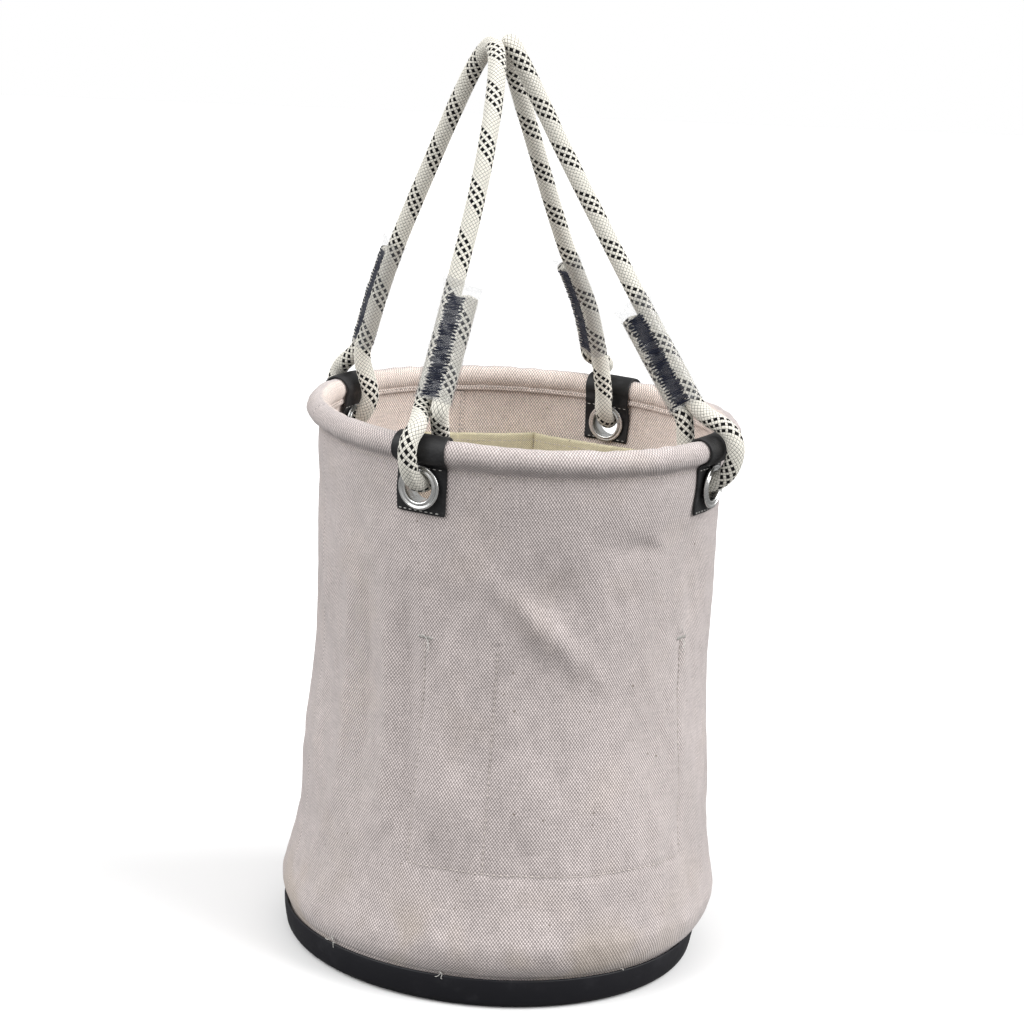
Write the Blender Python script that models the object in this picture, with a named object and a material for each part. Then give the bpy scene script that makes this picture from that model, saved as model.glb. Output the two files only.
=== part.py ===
"""Canvas tool bucket organizer with a rolled rim, four grommets and two rope handles.

A canvas tube stands in a shallow moulded base. Its top is rolled over a hoop. Four
patches fold over the rim, each with a grommet, and each rope handle is looped through
two neighbouring grommets, folded back beside itself, sewn, and covered with a clear
shrink sleeve. Two pocket panels are sewn to the inside of the tube.

Metres, +Z up, origin at the centre of the base's underside. The left handle is on the
-X side and joins the front and left eyes; the right handle joins the right and back eyes.
"""

from math import cos, hypot, pi, radians, sin

import bmesh
import bpy
from mathutils import Vector

# ---- driving dimensions -------------------------------------------------------------
GAP = 0.0003                    # clearance kept between neighbouring pieces
TURN_SEGMENTS = 48              # facets round the bucket

CANVAS_T = 0.0024               # heavy duck, two plies
RIM_ROLL_R = 0.0080             # outside radius of the rolled rim
RIM_R = 0.1445                  # radius of the roll's centre line
RIM_Z = 0.3840                  # height of the roll's centre line
HEM_END_Z = 0.3746              # where the rolled hem ends inside
HEM = ((0.1393, HEM_END_Z + 0.0022), (0.1391, HEM_END_Z))    # the roll's sewn-down edge
ROLL_FOOT = (0.1440, 0.3758)    # where the wall bends outward into the rim's roll
WALL_TOP_R = 0.1420             # canvas mid radius just under the rim

BASE_R = 0.1500                 # moulded base, outside radius at its lip
BASE_HEIGHT = 0.0225
BASE_FLOOR_T = 0.0032
BASE_CORNER_R = 0.0080          # outside round between the foot and the wall
BASE_LIP_T = 0.0022             # wall thickness at the lip
BASE_WALL_FOOT = (0.1462, 0.0060)       # the wall's inner face where it meets the floor
BASE_FLOOR_EDGE_R = 0.1456
BASE_FOOT_R = 0.1400            # flat underside
LINER_R = 0.1425
LINER_T = 0.0030

PATCH_HALF_WIDTH = 0.0186
PATCH_T = 0.0018
PATCH_OUTER_Z = 0.3400          # lower edge outside
PATCH_INNER_Z = 0.3450          # lower edge inside
PATCH_WAIST_Z = 0.3560          # the patch lies flat on the wall up to here
PATCH_TUCK_OUT = (0.1456, 0.3739)       # the tuck under the roll, outside
PATCH_TUCK_IN = ((0.1366, 0.3757), (0.1369, 0.3738), (0.1386, 0.3712))     # and inside

GROMMET_Z = 0.3584
GROMMET_HOLE_R = 0.0098
GROMMET_BARREL_T = 0.0007
GROMMET_FLANGE_R = 0.0152
GROMMET_FLANGE_T = 0.0024
WASHER_R = 0.0138
WASHER_T = 0.0012
GROMMET_BACK_R = 0.1465         # flange seat, measured from the bucket's axis
WASHER_SEAT_R = 0.1368          # washer seat inside

ROPE_R = 0.00635                # half-inch rope
ROPE_PITCH = 2 * ROPE_R + GAP   # centre distance of the two runs in a sleeve
EYE_HOLE_Z = 0.3568             # rope centre where it passes the grommet
EYE_LOOP_R = 0.1433             # middle of an eye's loop, measured from the bucket's axis
THROAT_GAP = 0.0009             # between an eye's ends and the handle's ropes
EYE_CLEARANCE = 0.0186          # half width of an eye's loop, to the rope's centre
EYE_TWIST = 0.35                # share of the throat's sideways offset that a loop keeps

# The rope of each handle, from one eye's throat over the top to the other's. The two
# handles lean on each other where they pass over the top.
SPAN_ROUTES = {
    "left": [
        (-0.1010, -0.0920, 0.4120), (-0.0900, -0.0840, 0.4520), (-0.0770, -0.0730, 0.4990),
        (-0.0640, -0.0600, 0.5450), (-0.0515, -0.0400, 0.5900), (-0.0415, -0.0140, 0.6260),
        (-0.0374, 0.0140, 0.6400), (-0.0425, 0.0360, 0.6220), (-0.0530, 0.0530, 0.5830),
        (-0.0650, 0.0670, 0.5390), (-0.0780, 0.0780, 0.4930), (-0.0878, 0.0853, 0.4520),
        (-0.0955, 0.0902, 0.4120),
    ],
    "right": [
        (0.0923, -0.0923, 0.4120), (0.0730, -0.0710, 0.4490), (0.0530, -0.0510, 0.4880),
        (0.0325, -0.0320, 0.5290), (0.0120, -0.0140, 0.5700), (-0.0070, 0.0010, 0.6090),
        (-0.0190, 0.0095, 0.6330), (-0.0232, 0.0185, 0.6420), (-0.0188, 0.0285, 0.6300),
        (-0.0070, 0.0370, 0.6040), (0.0090, 0.0470, 0.5700), (0.0270, 0.0570, 0.5310),
        (0.0460, 0.0667, 0.4920), (0.0681, 0.0746, 0.4510), (0.0824, 0.0833, 0.4120),
    ],
}

SLEEVE_START = 0.0030           # along the leg from the throat
SLEEVE_END = 0.0850
SLEEVE_FRAMES = 8               # sections along a sleeve and what lies in it
SLEEVE_T = 0.0007
SLEEVE_CLEARANCE = 0.00045
TAIL_END = 0.0760               # cut end of the rope, inside the sleeve
SEIZING_START = 0.0060
SEIZING_END = 0.0730

POCKET_T = 0.0018
POCKET_EDGE_GAP = 0.0020        # panel to wall where it is stitched down
POCKET_MOUTH_GAP = 0.0150       # panel to wall at a pocket's mouth
TAPE_HEIGHT = 0.0200
TAPE_T = 0.0006

SEAM_ANGLE = 93.75              # degrees, counter-clockwise from +X
SEAM_HALF_WIDTH = 0.0070
SEAM_T = 0.0011

# Canvas mid radius against height: it tucks into the base, bulges over the base's lip,
# and narrows towards the rim.
CANVAS_OUTLINE = [
    (0.1440, 0.0042), (0.1455, 0.0222), (0.1490, 0.0268), (0.1532, 0.0345), (0.1546, 0.0460),
    (0.1520, 0.0610), (0.1467, 0.0950), (0.1446, 0.1350), (0.1403, 0.1950), (0.1388, 0.2600),
    (0.1395, 0.3250), (WALL_TOP_R, 0.3560), (WALL_TOP_R, 0.3738),
]

# Each eye: its azimuth and handle, the direction from the tail's run to the span's run in
# degrees, which run passes outside the rim, and how far that run leans counter-clockwise.
EYES = {
    "front": {"azimuth": -135, "handle": "left", "span_side": 135, "outer": "span", "lean": 0.0},
    "left": {"azimuth": 135, "handle": "left", "span_side": -90, "outer": "tail", "lean": -0.0140},
    "right": {"azimuth": -45, "handle": "right", "span_side": -45, "outer": "span", "lean": 0.0},
    "back": {"azimuth": 45, "handle": "right", "span_side": -78, "outer": "tail", "lean": 0.0220},
}

POCKETS = {                     # edges and stitch lines in degrees, heights in metres
    "front": {"lines": [-132, -111, -50], "bottom": 0.0960, "top": 0.2560},
    "back": {"lines": [29, 68, 107], "bottom": 0.1500, "top": 0.3430},
}


# ---- materials ----------------------------------------------------------------------
def principled(name, colour, roughness, metallic=0.0, alpha=1.0):
    """A Principled material in linear colour."""
    material = bpy.data.materials.new(name)
    material.use_nodes = True
    shader = material.node_tree.nodes["Principled BSDF"]
    shader.inputs["Base Color"].default_value = (*colour, 1.0)
    shader.inputs["Roughness"].default_value = roughness
    shader.inputs["Metallic"].default_value = metallic
    shader.inputs["Alpha"].default_value = alpha
    material.diffuse_color = (*colour, alpha)
    return material


def make_materials():
    return {
        "canvas": principled("canvas", (0.53, 0.48, 0.44), 0.90),
        "binding": principled("binding", (0.56, 0.48, 0.33), 0.85),
        "base": principled("base", (0.018, 0.018, 0.022), 0.45),
        "patch": principled("patch", (0.012, 0.012, 0.014), 0.50),
        "grommet": principled("grommet", (0.62, 0.62, 0.60), 0.25, metallic=1.0),
        "rope": principled("rope", (0.66, 0.64, 0.58), 0.80),
        "thread": principled("thread", (0.015, 0.018, 0.035), 0.70),
        "sleeve": principled("sleeve", (0.90, 0.90, 0.88), 0.12, alpha=0.35),
        "hoop": principled("hoop", (0.60, 0.58, 0.52), 0.70),
    }


# ---- mesh helpers -------------------------------------------------------------------
def add_object(name, mesh, material):
    """Links a mesh into the scene as a smooth-shaded object with sharp edges kept."""
    mesh.materials.clear()
    mesh.materials.append(material)
    mesh.shade_smooth()
    mesh.set_sharp_from_angle(angle=radians(35))
    obj = bpy.data.objects.new(name, mesh)
    bpy.context.scene.collection.objects.link(obj)
    return obj


def mesh_from_bmesh(name, bm):
    bmesh.ops.recalc_face_normals(bm, faces=bm.faces)
    mesh = bpy.data.meshes.new(name)
    bm.to_mesh(mesh)
    bm.free()
    return mesh


def loft(name, loops, closed):
    """Joins equal loops of points in order; closed joins the last loop to the first."""
    bm = bmesh.new()
    rings = [[bm.verts.new(point) for point in loop] for loop in loops]
    count = len(rings[0])
    last = len(rings) if closed else len(rings) - 1
    for i in range(last):
        lower = rings[i]
        upper = rings[(i + 1) % len(rings)]
        for k in range(count):
            following = (k + 1) % count
            bm.faces.new((lower[k], lower[following], upper[following], upper[k]))
    if not closed:
        bm.faces.new(list(reversed(rings[0])))
        bm.faces.new(rings[-1])
    return mesh_from_bmesh(name, bm)


def on_cylinder(radius, angle, height):
    return Vector((radius * cos(angle), radius * sin(angle), height))


def turned_ring(name, section, segments=TURN_SEGMENTS):
    """Turns a closed (radius, height) section that doesn't touch the axis."""
    angles = [2 * pi * i / segments for i in range(segments)]
    return loft(name, [[on_cylinder(r, a, z) for r, z in section] for a in angles], closed=True)


def turned_disc(name, section, segments=TURN_SEGMENTS):
    """Turns an open (radius, height) section, whose ends are on the axis, into a solid."""
    bm = bmesh.new()
    rings = []
    for r, z in section[1:-1]:
        rings.append([bm.verts.new(on_cylinder(r, 2 * pi * i / segments, z)) for i in range(segments)])
    for lower, upper in zip(rings, rings[1:]):
        for k in range(segments):
            following = (k + 1) % segments
            bm.faces.new((lower[k], lower[following], upper[following], upper[k]))
    for ring, height in ((rings[0], section[0][1]), (rings[-1], section[-1][1])):
        pole = bm.verts.new((0, 0, height))
        for k in range(segments):
            bm.faces.new((ring[k], ring[(k + 1) % segments], pole))
    return mesh_from_bmesh(name, bm)


def sector(name, section, centre_angle, half_width, radius, segments):
    """Bends a closed (radius, height) section round the bucket, half_width each way."""
    half_angle = half_width / radius
    angles = [centre_angle + half_angle * (2 * i / segments - 1) for i in range(segments + 1)]
    return loft(name, [[on_cylinder(r, a, z) for r, z in section] for a in angles], closed=False)


def offset_line(line, distance):
    """An open (radius, height) line moved sideways, outward where it runs upward."""
    moved = []
    for i, (r, z) in enumerate(line):
        before = line[max(i - 1, 0)]
        after = line[min(i + 1, len(line) - 1)]
        run, rise = after[0] - before[0], after[1] - before[1]
        length = hypot(run, rise)
        moved.append((r + rise / length * distance, z - run / length * distance))
    return moved


def thicken(line, thickness):
    """A closed section made by offsetting an open (radius, height) line both ways."""
    return offset_line(line, thickness / 2) + offset_line(line, -thickness / 2)[::-1]


def arc(centre, radius, start, end, steps):
    """Points of an arc in the (radius, height) plane, angles in degrees."""
    angles = [radians(start + (end - start) * i / steps) for i in range(steps + 1)]
    return [(centre[0] + radius * cos(a), centre[1] + radius * sin(a)) for a in angles]


def smooth_path(points, steps):
    """A Catmull-Rom curve through the points, with steps stretches between each pair."""
    ends = [points[0] * 2 - points[1]] + list(points) + [points[-1] * 2 - points[-2]]
    path = []
    for p0, p1, p2, p3 in zip(ends, ends[1:], ends[2:], ends[3:]):
        for i in range(steps):
            t = i / steps
            path.append(0.5 * (2 * p1 + (p2 - p0) * t + (2 * p0 - 5 * p1 + 4 * p2 - p3) * t ** 2
                               + (3 * p1 - p0 - 3 * p2 + p3) * t ** 3))
    path.append(points[-1].copy())
    return path


def rope_object(name, path, material):
    """A round rope as a bevelled curve with filled ends."""
    curve = bpy.data.curves.new(name, "CURVE")
    curve.dimensions = "3D"
    curve.bevel_depth = ROPE_R
    curve.bevel_resolution = 2
    curve.use_fill_caps = True
    spline = curve.splines.new("POLY")
    spline.points.add(len(path) - 1)
    for point, place in zip(spline.points, path):
        point.co = (*place, 1.0)
    curve.materials.append(material)
    obj = bpy.data.objects.new(name, curve)
    bpy.context.scene.collection.objects.link(obj)
    return obj


def cut(obj, cutter):
    boolean = obj.modifiers.new("cut_" + cutter.name, "BOOLEAN")
    boolean.operation = "DIFFERENCE"
    boolean.object = cutter


def canvas_radius(height):
    """Mid radius of the canvas wall at a height."""
    for (r0, z0), (r1, z1) in zip(CANVAS_OUTLINE, CANVAS_OUTLINE[1:]):
        if z0 <= height <= z1:
            return r0 + (r1 - r0) * (height - z0) / (z1 - z0)
    return CANVAS_OUTLINE[-1][0]


def wall_inside(height):
    return canvas_radius(height) - CANVAS_T / 2


# ---- base, canvas tube and rim --------------------------------------------------------
def make_base(mats):
    lip_inner_r = BASE_R - BASE_LIP_T
    corner = arc((BASE_FOOT_R, BASE_CORNER_R), BASE_CORNER_R, -90, -15, 5)
    section = [(0, 0)] + corner + [
        (BASE_R, BASE_HEIGHT - 0.0010), (BASE_R - 0.0007, BASE_HEIGHT),
        (lip_inner_r + 0.0004, BASE_HEIGHT), (lip_inner_r, BASE_HEIGHT - 0.0008),
        BASE_WALL_FOOT, (BASE_FLOOR_EDGE_R, BASE_FLOOR_T), (0, BASE_FLOOR_T),
    ]
    add_object("base_cup", turned_disc("base_cup", section), mats["base"])
    bottom = BASE_FLOOR_T + GAP
    liner = [(0, bottom), (LINER_R, bottom), (LINER_R, bottom + LINER_T), (0, bottom + LINER_T)]
    add_object("bottom_liner", turned_disc("bottom_liner", liner), mats["canvas"])


def grommet_cutter(name, azimuth):
    """A radial pin that cuts a grommet's hole, with room for its barrel."""
    bm = bmesh.new()
    radius = GROMMET_HOLE_R + GROMMET_BARREL_T + GAP
    bmesh.ops.create_cone(bm, cap_ends=True, segments=20, radius1=radius, radius2=radius, depth=0.05)
    mesh = bpy.data.meshes.new(name)
    bm.to_mesh(mesh)
    bm.free()
    cutter = bpy.data.objects.new(name, mesh)
    bpy.context.scene.collection.objects.link(cutter)
    cutter.rotation_euler = (0, pi / 2, radians(azimuth))
    cutter.location = on_cylinder(RIM_R, radians(azimuth), GROMMET_Z)
    cutter.hide_render = True
    cutter.display_type = "WIRE"
    return cutter


def make_canvas(mats, cutters):
    roll = arc((RIM_R, RIM_Z), RIM_ROLL_R - CANVAS_T / 2, -68, 232, 11)
    line = CANVAS_OUTLINE + [ROLL_FOOT] + roll + list(HEM)
    body = add_object("canvas_body", turned_ring("canvas_body", thicken(line, CANVAS_T)), mats["canvas"])
    for cutter in cutters.values():
        cut(body, cutter)
    hoop_r = RIM_ROLL_R - CANVAS_T - GAP
    hoop = arc((RIM_R, RIM_Z), hoop_r, 0, 315, 7)
    add_object("rim_hoop", turned_ring("rim_hoop", hoop), mats["hoop"])


def make_seam_strip(mats):
    start = BASE_FLOOR_T + LINER_T + 4 * GAP
    heights = [start] + [z for _, z in CANVAS_OUTLINE if start < z < HEM_END_Z - 0.0010]
    wall = [(canvas_radius(z), z) for z in heights]
    line = offset_line(wall, -(CANVAS_T / 2 + 1.5 * GAP + SEAM_T / 2))
    mesh = sector("seam_strip", thicken(line, SEAM_T), radians(SEAM_ANGLE), SEAM_HALF_WIDTH, RIM_R, 1)
    add_object("seam_strip", mesh, mats["canvas"])


# ---- patches and grommets --------------------------------------------------------------
def make_patch(name, azimuth, mats, cutter):
    """A strip folded over the rolled rim, hanging down both sides of the wall."""
    off = GAP + PATCH_T / 2
    outside = [(canvas_radius(z) + CANVAS_T / 2 + off, z) for z in (PATCH_OUTER_Z, PATCH_WAIST_Z, 0.3730)]
    outside.append(PATCH_TUCK_OUT)
    over = arc((RIM_R, RIM_Z), RIM_ROLL_R + off, -72, 216, 14)
    inside = list(PATCH_TUCK_IN)
    inside += [(wall_inside(z) - off, z) for z in (PATCH_WAIST_Z, PATCH_INNER_Z)]
    section = thicken(outside + over + inside, PATCH_T)
    mesh = sector(name, section, radians(azimuth), PATCH_HALF_WIDTH, RIM_R, 2)
    patch = add_object(name, mesh, mats["patch"])
    cut(patch, cutter)


def grommet_meshes():
    """The grommet with its barrel, and its washer, turned about the barrel's axis."""
    hole, barrel = GROMMET_HOLE_R, GROMMET_HOLE_R + GROMMET_BARREL_T
    tail_end = WASHER_SEAT_R - WASHER_T - 2 * GAP - GROMMET_BACK_R
    crown = GROMMET_FLANGE_T
    grommet = [
        (barrel, 0.0), (GROMMET_FLANGE_R - 0.0004, 0.0), (GROMMET_FLANGE_R, 0.0008),
        (GROMMET_FLANGE_R - 0.0010, crown * 0.80), (GROMMET_FLANGE_R - 0.0026, crown),
        (hole + 0.0012, crown * 0.85), (hole + 0.0002, crown * 0.40), (hole, -0.0005),
        (hole, tail_end), (hole + 0.0016, tail_end - 0.0006), (hole + 0.0018, tail_end),
        (barrel, tail_end + 0.0001),
    ]
    start = WASHER_SEAT_R - GROMMET_BACK_R
    inner = barrel + GAP
    washer = [(inner, start), (inner, start - WASHER_T), (WASHER_R - 0.0004, start - WASHER_T),
              (WASHER_R, start - WASHER_T / 2), (WASHER_R - 0.0002, start)]
    return turned_ring("grommet", grommet, 18), turned_ring("washer", washer, 18)


def place_grommet(obj, azimuth):
    """Turns a piece's own axis to point outward at a grommet."""
    obj.rotation_euler = (0, pi / 2, radians(azimuth))
    obj.location = on_cylinder(GROMMET_BACK_R, radians(azimuth), GROMMET_Z)


# ---- rope handles ----------------------------------------------------------------------
def eye_axes(eye):
    """Outward and counter-clockwise unit vectors at an eye."""
    angle = radians(eye["azimuth"])
    return Vector((cos(angle), sin(angle), 0)), Vector((-sin(angle), cos(angle), 0))


def run_offset(eye):
    """From the pair's middle to the span's run, at the throat."""
    return on_cylinder(ROPE_PITCH / 2, radians(eye["span_side"]), 0)


def span_path(handle):
    """The rope from one throat over the top to the other."""
    return smooth_path([Vector(point) for point in SPAN_ROUTES[handle]], 3)


def leg_of(eye_name):
    """The span's path, ordered so that it starts at this eye's throat."""
    path = span_path(EYES[eye_name]["handle"])
    outward, _ = eye_axes(EYES[eye_name])
    return path if path[0].dot(outward) > path[-1].dot(outward) else path[::-1]


def leg_frame(eye_name, distance):
    """Point, direction, and unit vector from the tail to the span, along a leg."""
    path = leg_of(eye_name)
    travelled = 0.0
    for here, after in zip(path, path[1:]):
        step = (after - here).length
        if travelled + step >= distance:
            break
        travelled += step
    direction = (after - here).normalized()
    across = run_offset(EYES[eye_name])
    across = (across - direction * across.dot(direction)).normalized()
    return here + direction * (distance - travelled), direction, across


def eye_path(eye_name):
    """The rope through an eye, from the span's end at the throat round to the tail's end.

    The run the eye names as outer goes down outside the rim and in through the grommet.
    The other run goes up inside the rim.
    """
    eye = EYES[eye_name]
    outward, around = eye_axes(eye)
    point, direction, across = leg_frame(eye_name, 0.0)
    span_end = point - direction * THROAT_GAP
    tail_end = span_end - across * ROPE_PITCH
    outer_first = eye["outer"] == "span"
    offset = run_offset(eye).dot(around) * (1 if outer_first else -1)
    lower = RIM_Z - EYE_HOLE_Z
    wall_shift = EYE_LOOP_R - WALL_TOP_R
    loop = []
    for angle in (60, 30, 0, -30, -60, -90, -120, -150, 180):
        a = radians(angle)
        depth = max(0.0, -sin(a))
        r = EYE_LOOP_R + EYE_CLEARANCE * cos(a) - wall_shift * depth
        z = RIM_Z + (lower if sin(a) < 0 else EYE_CLEARANCE) * sin(a)
        leaning = eye["lean"] * max(0.0, cos(a)) * (0.5 + 0.5 * sin(a)) ** 0.5
        side = offset * cos(a) * EYE_TWIST + leaning
        loop.append(outward * r + around * side + Vector((0, 0, z)))
    if not outer_first:
        loop.reverse()
    straight = direction * 0.0020
    knots = [span_end - straight] + loop + [tail_end - straight]
    return [span_end] + smooth_path(knots, 2) + [tail_end]


def oval(centre, across, normal, half_width, half_height, sides=16):
    """A flat-sided oval: two half circles joined by straight sides."""
    straight = half_width - half_height
    points = []
    for i in range(sides):
        angle = 2 * pi * (i + 0.5) / sides
        shift = straight if cos(angle) > 0 else -straight
        points.append(centre + across * (shift + half_height * cos(angle)) + normal * half_height * sin(angle))
    return points


def tube_between(name, frames, inner, outer):
    """An open-ended oval tube through (centre, across, normal) frames."""
    inside = [oval(*frame, *inner) for frame in frames]
    outside = [oval(*frame, *outer) for frame in frames]
    return loft(name, outside + inside[::-1], closed=True)


def distances(start, end, count):
    return [start + (end - start) * i / (count - 1) for i in range(count)]


def pair_frames(eye_name, start, end, count):
    """Frames midway between the two runs of rope along a leg."""
    frames = []
    for distance in distances(start, end, count):
        point, direction, across = leg_frame(eye_name, distance)
        frames.append((point - across * ROPE_PITCH / 2, across, direction.cross(across)))
    return frames


def make_sleeve(eye_name, mats):
    half_width = ROPE_PITCH / 2 + ROPE_R + SLEEVE_CLEARANCE
    half_height = ROPE_R + SLEEVE_CLEARANCE
    frames = pair_frames(eye_name, SLEEVE_START, SLEEVE_END, SLEEVE_FRAMES)
    mesh = tube_between("sleeve_" + eye_name, frames, (half_width, half_height),
                        (half_width + SLEEVE_T, half_height + SLEEVE_T))
    add_object("sleeve_" + eye_name, mesh, mats["sleeve"])


def make_seizing(eye_name, face, mats):
    """The sewn thread that fills the valley between the two runs on one face."""
    wedge = [(0, 0.0024), (0.0018, 0.0051), (0.0029, 0.0059), (0.0029, 0.0064),
             (-0.0029, 0.0064), (-0.0029, 0.0059), (-0.0018, 0.0051)]
    side = 1 if face == "a" else -1
    loops = []
    for centre, across, normal in pair_frames(eye_name, SEIZING_START, SEIZING_END, SLEEVE_FRAMES):
        loops.append([centre + across * x + normal * side * height for x, height in wedge])
    name = "seizing_" + eye_name + "_" + face
    add_object(name, loft(name, loops, closed=False), mats["thread"])


def make_ropes(mats):
    for handle in ("left", "right"):
        rope_object("rope_span_" + handle, span_path(handle), mats["rope"])
    for name in EYES:
        rope_object("rope_eye_" + name, eye_path(name), mats["rope"])
        tail = []
        for distance in distances(0.0, TAIL_END, SLEEVE_FRAMES):
            point, _, across = leg_frame(name, distance)
            tail.append(point - across * ROPE_PITCH)
        rope_object("rope_tail_" + name, tail, mats["rope"])
        make_sleeve(name, mats)
        for face in ("a", "b"):
            make_seizing(name, face, mats)


# ---- pockets ---------------------------------------------------------------------------
def pocket_angles(lines, per_pocket=8):
    """Angles across a panel, with one at each stitch line."""
    angles = []
    for start, end in zip(lines, lines[1:]):
        angles += [start + (end - start) * i / per_pocket for i in range(per_pocket)]
    return angles + [lines[-1]]


def pocket_radius(pocket, angle, height):
    """Mid radius of a pocket panel: near the wall on its stitch lines, proud at its mouth."""
    lines = pocket["lines"]
    fullness = 0.0
    for start, end in zip(lines, lines[1:]):
        if start <= angle <= end:
            fullness = sin(pi * (angle - start) / (end - start)) ** 0.5 if start < angle < end else 0.0
    rise = (height - pocket["bottom"]) / (pocket["top"] - pocket["bottom"])
    rise = min(max(rise, 0.0), 1.0) ** 0.6
    gap = POCKET_EDGE_GAP + (POCKET_MOUTH_GAP - POCKET_EDGE_GAP) * fullness * rise
    return wall_inside(height) - gap - POCKET_T / 2


def make_pocket(name, pocket, mats):
    """A pocket panel and the tape folded over its top edge."""
    bottom, top = pocket["bottom"], pocket["top"]
    tape_bottom = top - TAPE_HEIGHT
    heights = distances(bottom, tape_bottom, 6) + [top]
    panel_loops, tape_loops = [], []
    cover = POCKET_T / 2 + 2 * GAP
    for angle in pocket_angles(pocket["lines"]):
        a = radians(angle)
        outer = [on_cylinder(pocket_radius(pocket, angle, z) + POCKET_T / 2, a, z) for z in heights]
        inner = [on_cylinder(pocket_radius(pocket, angle, z) - POCKET_T / 2, a, z) for z in heights]
        panel_loops.append(outer + inner[::-1])
        low, high = pocket_radius(pocket, angle, tape_bottom), pocket_radius(pocket, angle, top)
        out, inn = cover + TAPE_T, cover
        section = [(low + out, tape_bottom), (high + out, top + GAP + TAPE_T),
                   (high - out, top + GAP + TAPE_T), (low - out, tape_bottom),
                   (low - inn, tape_bottom), (high - inn, top + GAP),
                   (high + inn, top + GAP), (low + inn, tape_bottom)]
        tape_loops.append([on_cylinder(r, a, z) for r, z in section])
    panel_name, tape_name = "pocket_" + name, "pocket_tape_" + name
    add_object(panel_name, loft(panel_name, panel_loops, closed=False), mats["canvas"])
    add_object(tape_name, loft(tape_name, tape_loops, closed=False), mats["binding"])


def main():
    for obj in list(bpy.data.objects):
        bpy.data.objects.remove(obj, do_unlink=True)
    mats = make_materials()
    cutters = {name: grommet_cutter("hole_" + name, eye["azimuth"]) for name, eye in EYES.items()}
    make_base(mats)
    make_canvas(mats, cutters)
    make_seam_strip(mats)
    grommet, washer = grommet_meshes()
    for name, eye in EYES.items():
        make_patch("patch_" + name, eye["azimuth"], mats, cutters[name])
        place_grommet(add_object("grommet_" + name, grommet, mats["grommet"]), eye["azimuth"])
        place_grommet(add_object("washer_" + name, washer, mats["grommet"]), eye["azimuth"])
    make_ropes(mats)
    for name, pocket in POCKETS.items():
        make_pocket(name, pocket, mats)


main()
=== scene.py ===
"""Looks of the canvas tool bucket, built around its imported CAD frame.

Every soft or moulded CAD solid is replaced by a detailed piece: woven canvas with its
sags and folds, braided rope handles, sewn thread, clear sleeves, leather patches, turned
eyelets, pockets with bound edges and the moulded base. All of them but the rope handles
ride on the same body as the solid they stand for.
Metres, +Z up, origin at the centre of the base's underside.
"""

from math import cos, pi, radians, sin, tau

import bpy
import numpy as np
from mathutils import Matrix, Vector


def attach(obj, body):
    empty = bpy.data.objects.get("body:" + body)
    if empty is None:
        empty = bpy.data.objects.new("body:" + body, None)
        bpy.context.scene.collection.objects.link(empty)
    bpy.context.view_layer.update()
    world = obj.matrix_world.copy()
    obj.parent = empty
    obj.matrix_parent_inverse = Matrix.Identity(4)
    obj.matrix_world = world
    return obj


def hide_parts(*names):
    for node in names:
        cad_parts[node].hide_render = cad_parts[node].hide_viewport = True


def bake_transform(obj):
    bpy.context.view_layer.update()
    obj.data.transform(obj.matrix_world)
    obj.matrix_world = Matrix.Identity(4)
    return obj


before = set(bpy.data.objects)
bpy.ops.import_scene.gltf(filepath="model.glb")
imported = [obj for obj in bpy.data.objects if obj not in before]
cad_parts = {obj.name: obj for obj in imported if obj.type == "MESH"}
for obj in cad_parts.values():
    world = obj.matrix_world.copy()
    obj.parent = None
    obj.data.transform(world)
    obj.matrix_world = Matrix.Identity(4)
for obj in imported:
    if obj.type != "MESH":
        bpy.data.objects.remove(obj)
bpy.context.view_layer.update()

# ---- the frame's own sizes ------------------------------------------------------------
CANVAS_T = 0.0024               # heavy duck, two plies
RIM_ROLL_R = 0.0080             # outside radius of the rolled rim
RIM_R = 0.1445                  # radius of the roll's centre line
RIM_Z = 0.3840
HEM_END_Z = 0.3746              # where the rolled hem ends inside
HEM = ((0.1393, HEM_END_Z + 0.0022), (0.1391, HEM_END_Z))    # the roll's sewn-down edge
ROLL_FOOT = (0.1440, 0.3758)    # where the wall bends outward into the rim's roll
WALL_TOP_R = 0.1420
BASE_R = 0.1500
BASE_HEIGHT = 0.0225
BASE_FLOOR_T = 0.0032
BASE_FOOT_R = 0.1400
LINER_R = 0.1425
LINER_MIDDLE_Z = 0.0049         # mid height of the floor's cloth disc
LINER_T = 0.0024
PATCH_HALF_WIDTH = 0.0186
PATCH_T = 0.0018
PATCH_OUTER_Z = 0.3400
PATCH_INNER_Z = 0.3450
GROMMET_Z = 0.3584
GROMMET_HOLE_R = 0.0098
GROMMET_FLANGE_R = 0.0152
GROMMET_FLANGE_T = 0.0024
GROMMET_BACK_R = 0.1465
WASHER_R = 0.0138
WASHER_T = 0.0012
WASHER_SEAT_R = 0.1368
ROPE_R = 0.00635
ROPE_PITCH = 2 * ROPE_R + 0.0003
EYE_HOLE_Z = 0.3602             # rope centre where it passes an eyelet
EYE_LOOP_R = 0.1433             # middle of an eye's loop, from the bucket's axis
EYE_CLEARANCE = 0.0186          # half width of an eye's loop, to the rope's centre
EYE_TWIST = 0.35                # share of the throat's sideways offset that a loop keeps
EYE_DROP = 0.0029               # from the throat down to an eye's two ends
SLEEVE_START = 0.0030           # along a leg from its throat
SLEEVE_END = 0.0850
SLEEVE_T = 0.0005
TAIL_START = 0.0040
TAIL_END = 0.0760
SEIZING_START = 0.0060
SEIZING_END = 0.0730
SEIZING_TURNS = 118
SEIZING_REACH = (0.0066, 0.0036)        # long and short stitches, from the valley's middle
SEIZING_THREAD_R = 0.00064
POCKET_T = 0.0018
POCKET_EDGE_GAP = 0.0020
POCKET_MOUTH_GAP = 0.0150
PANEL_R = 0.1400                # radius at which a panel's width is measured
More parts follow.
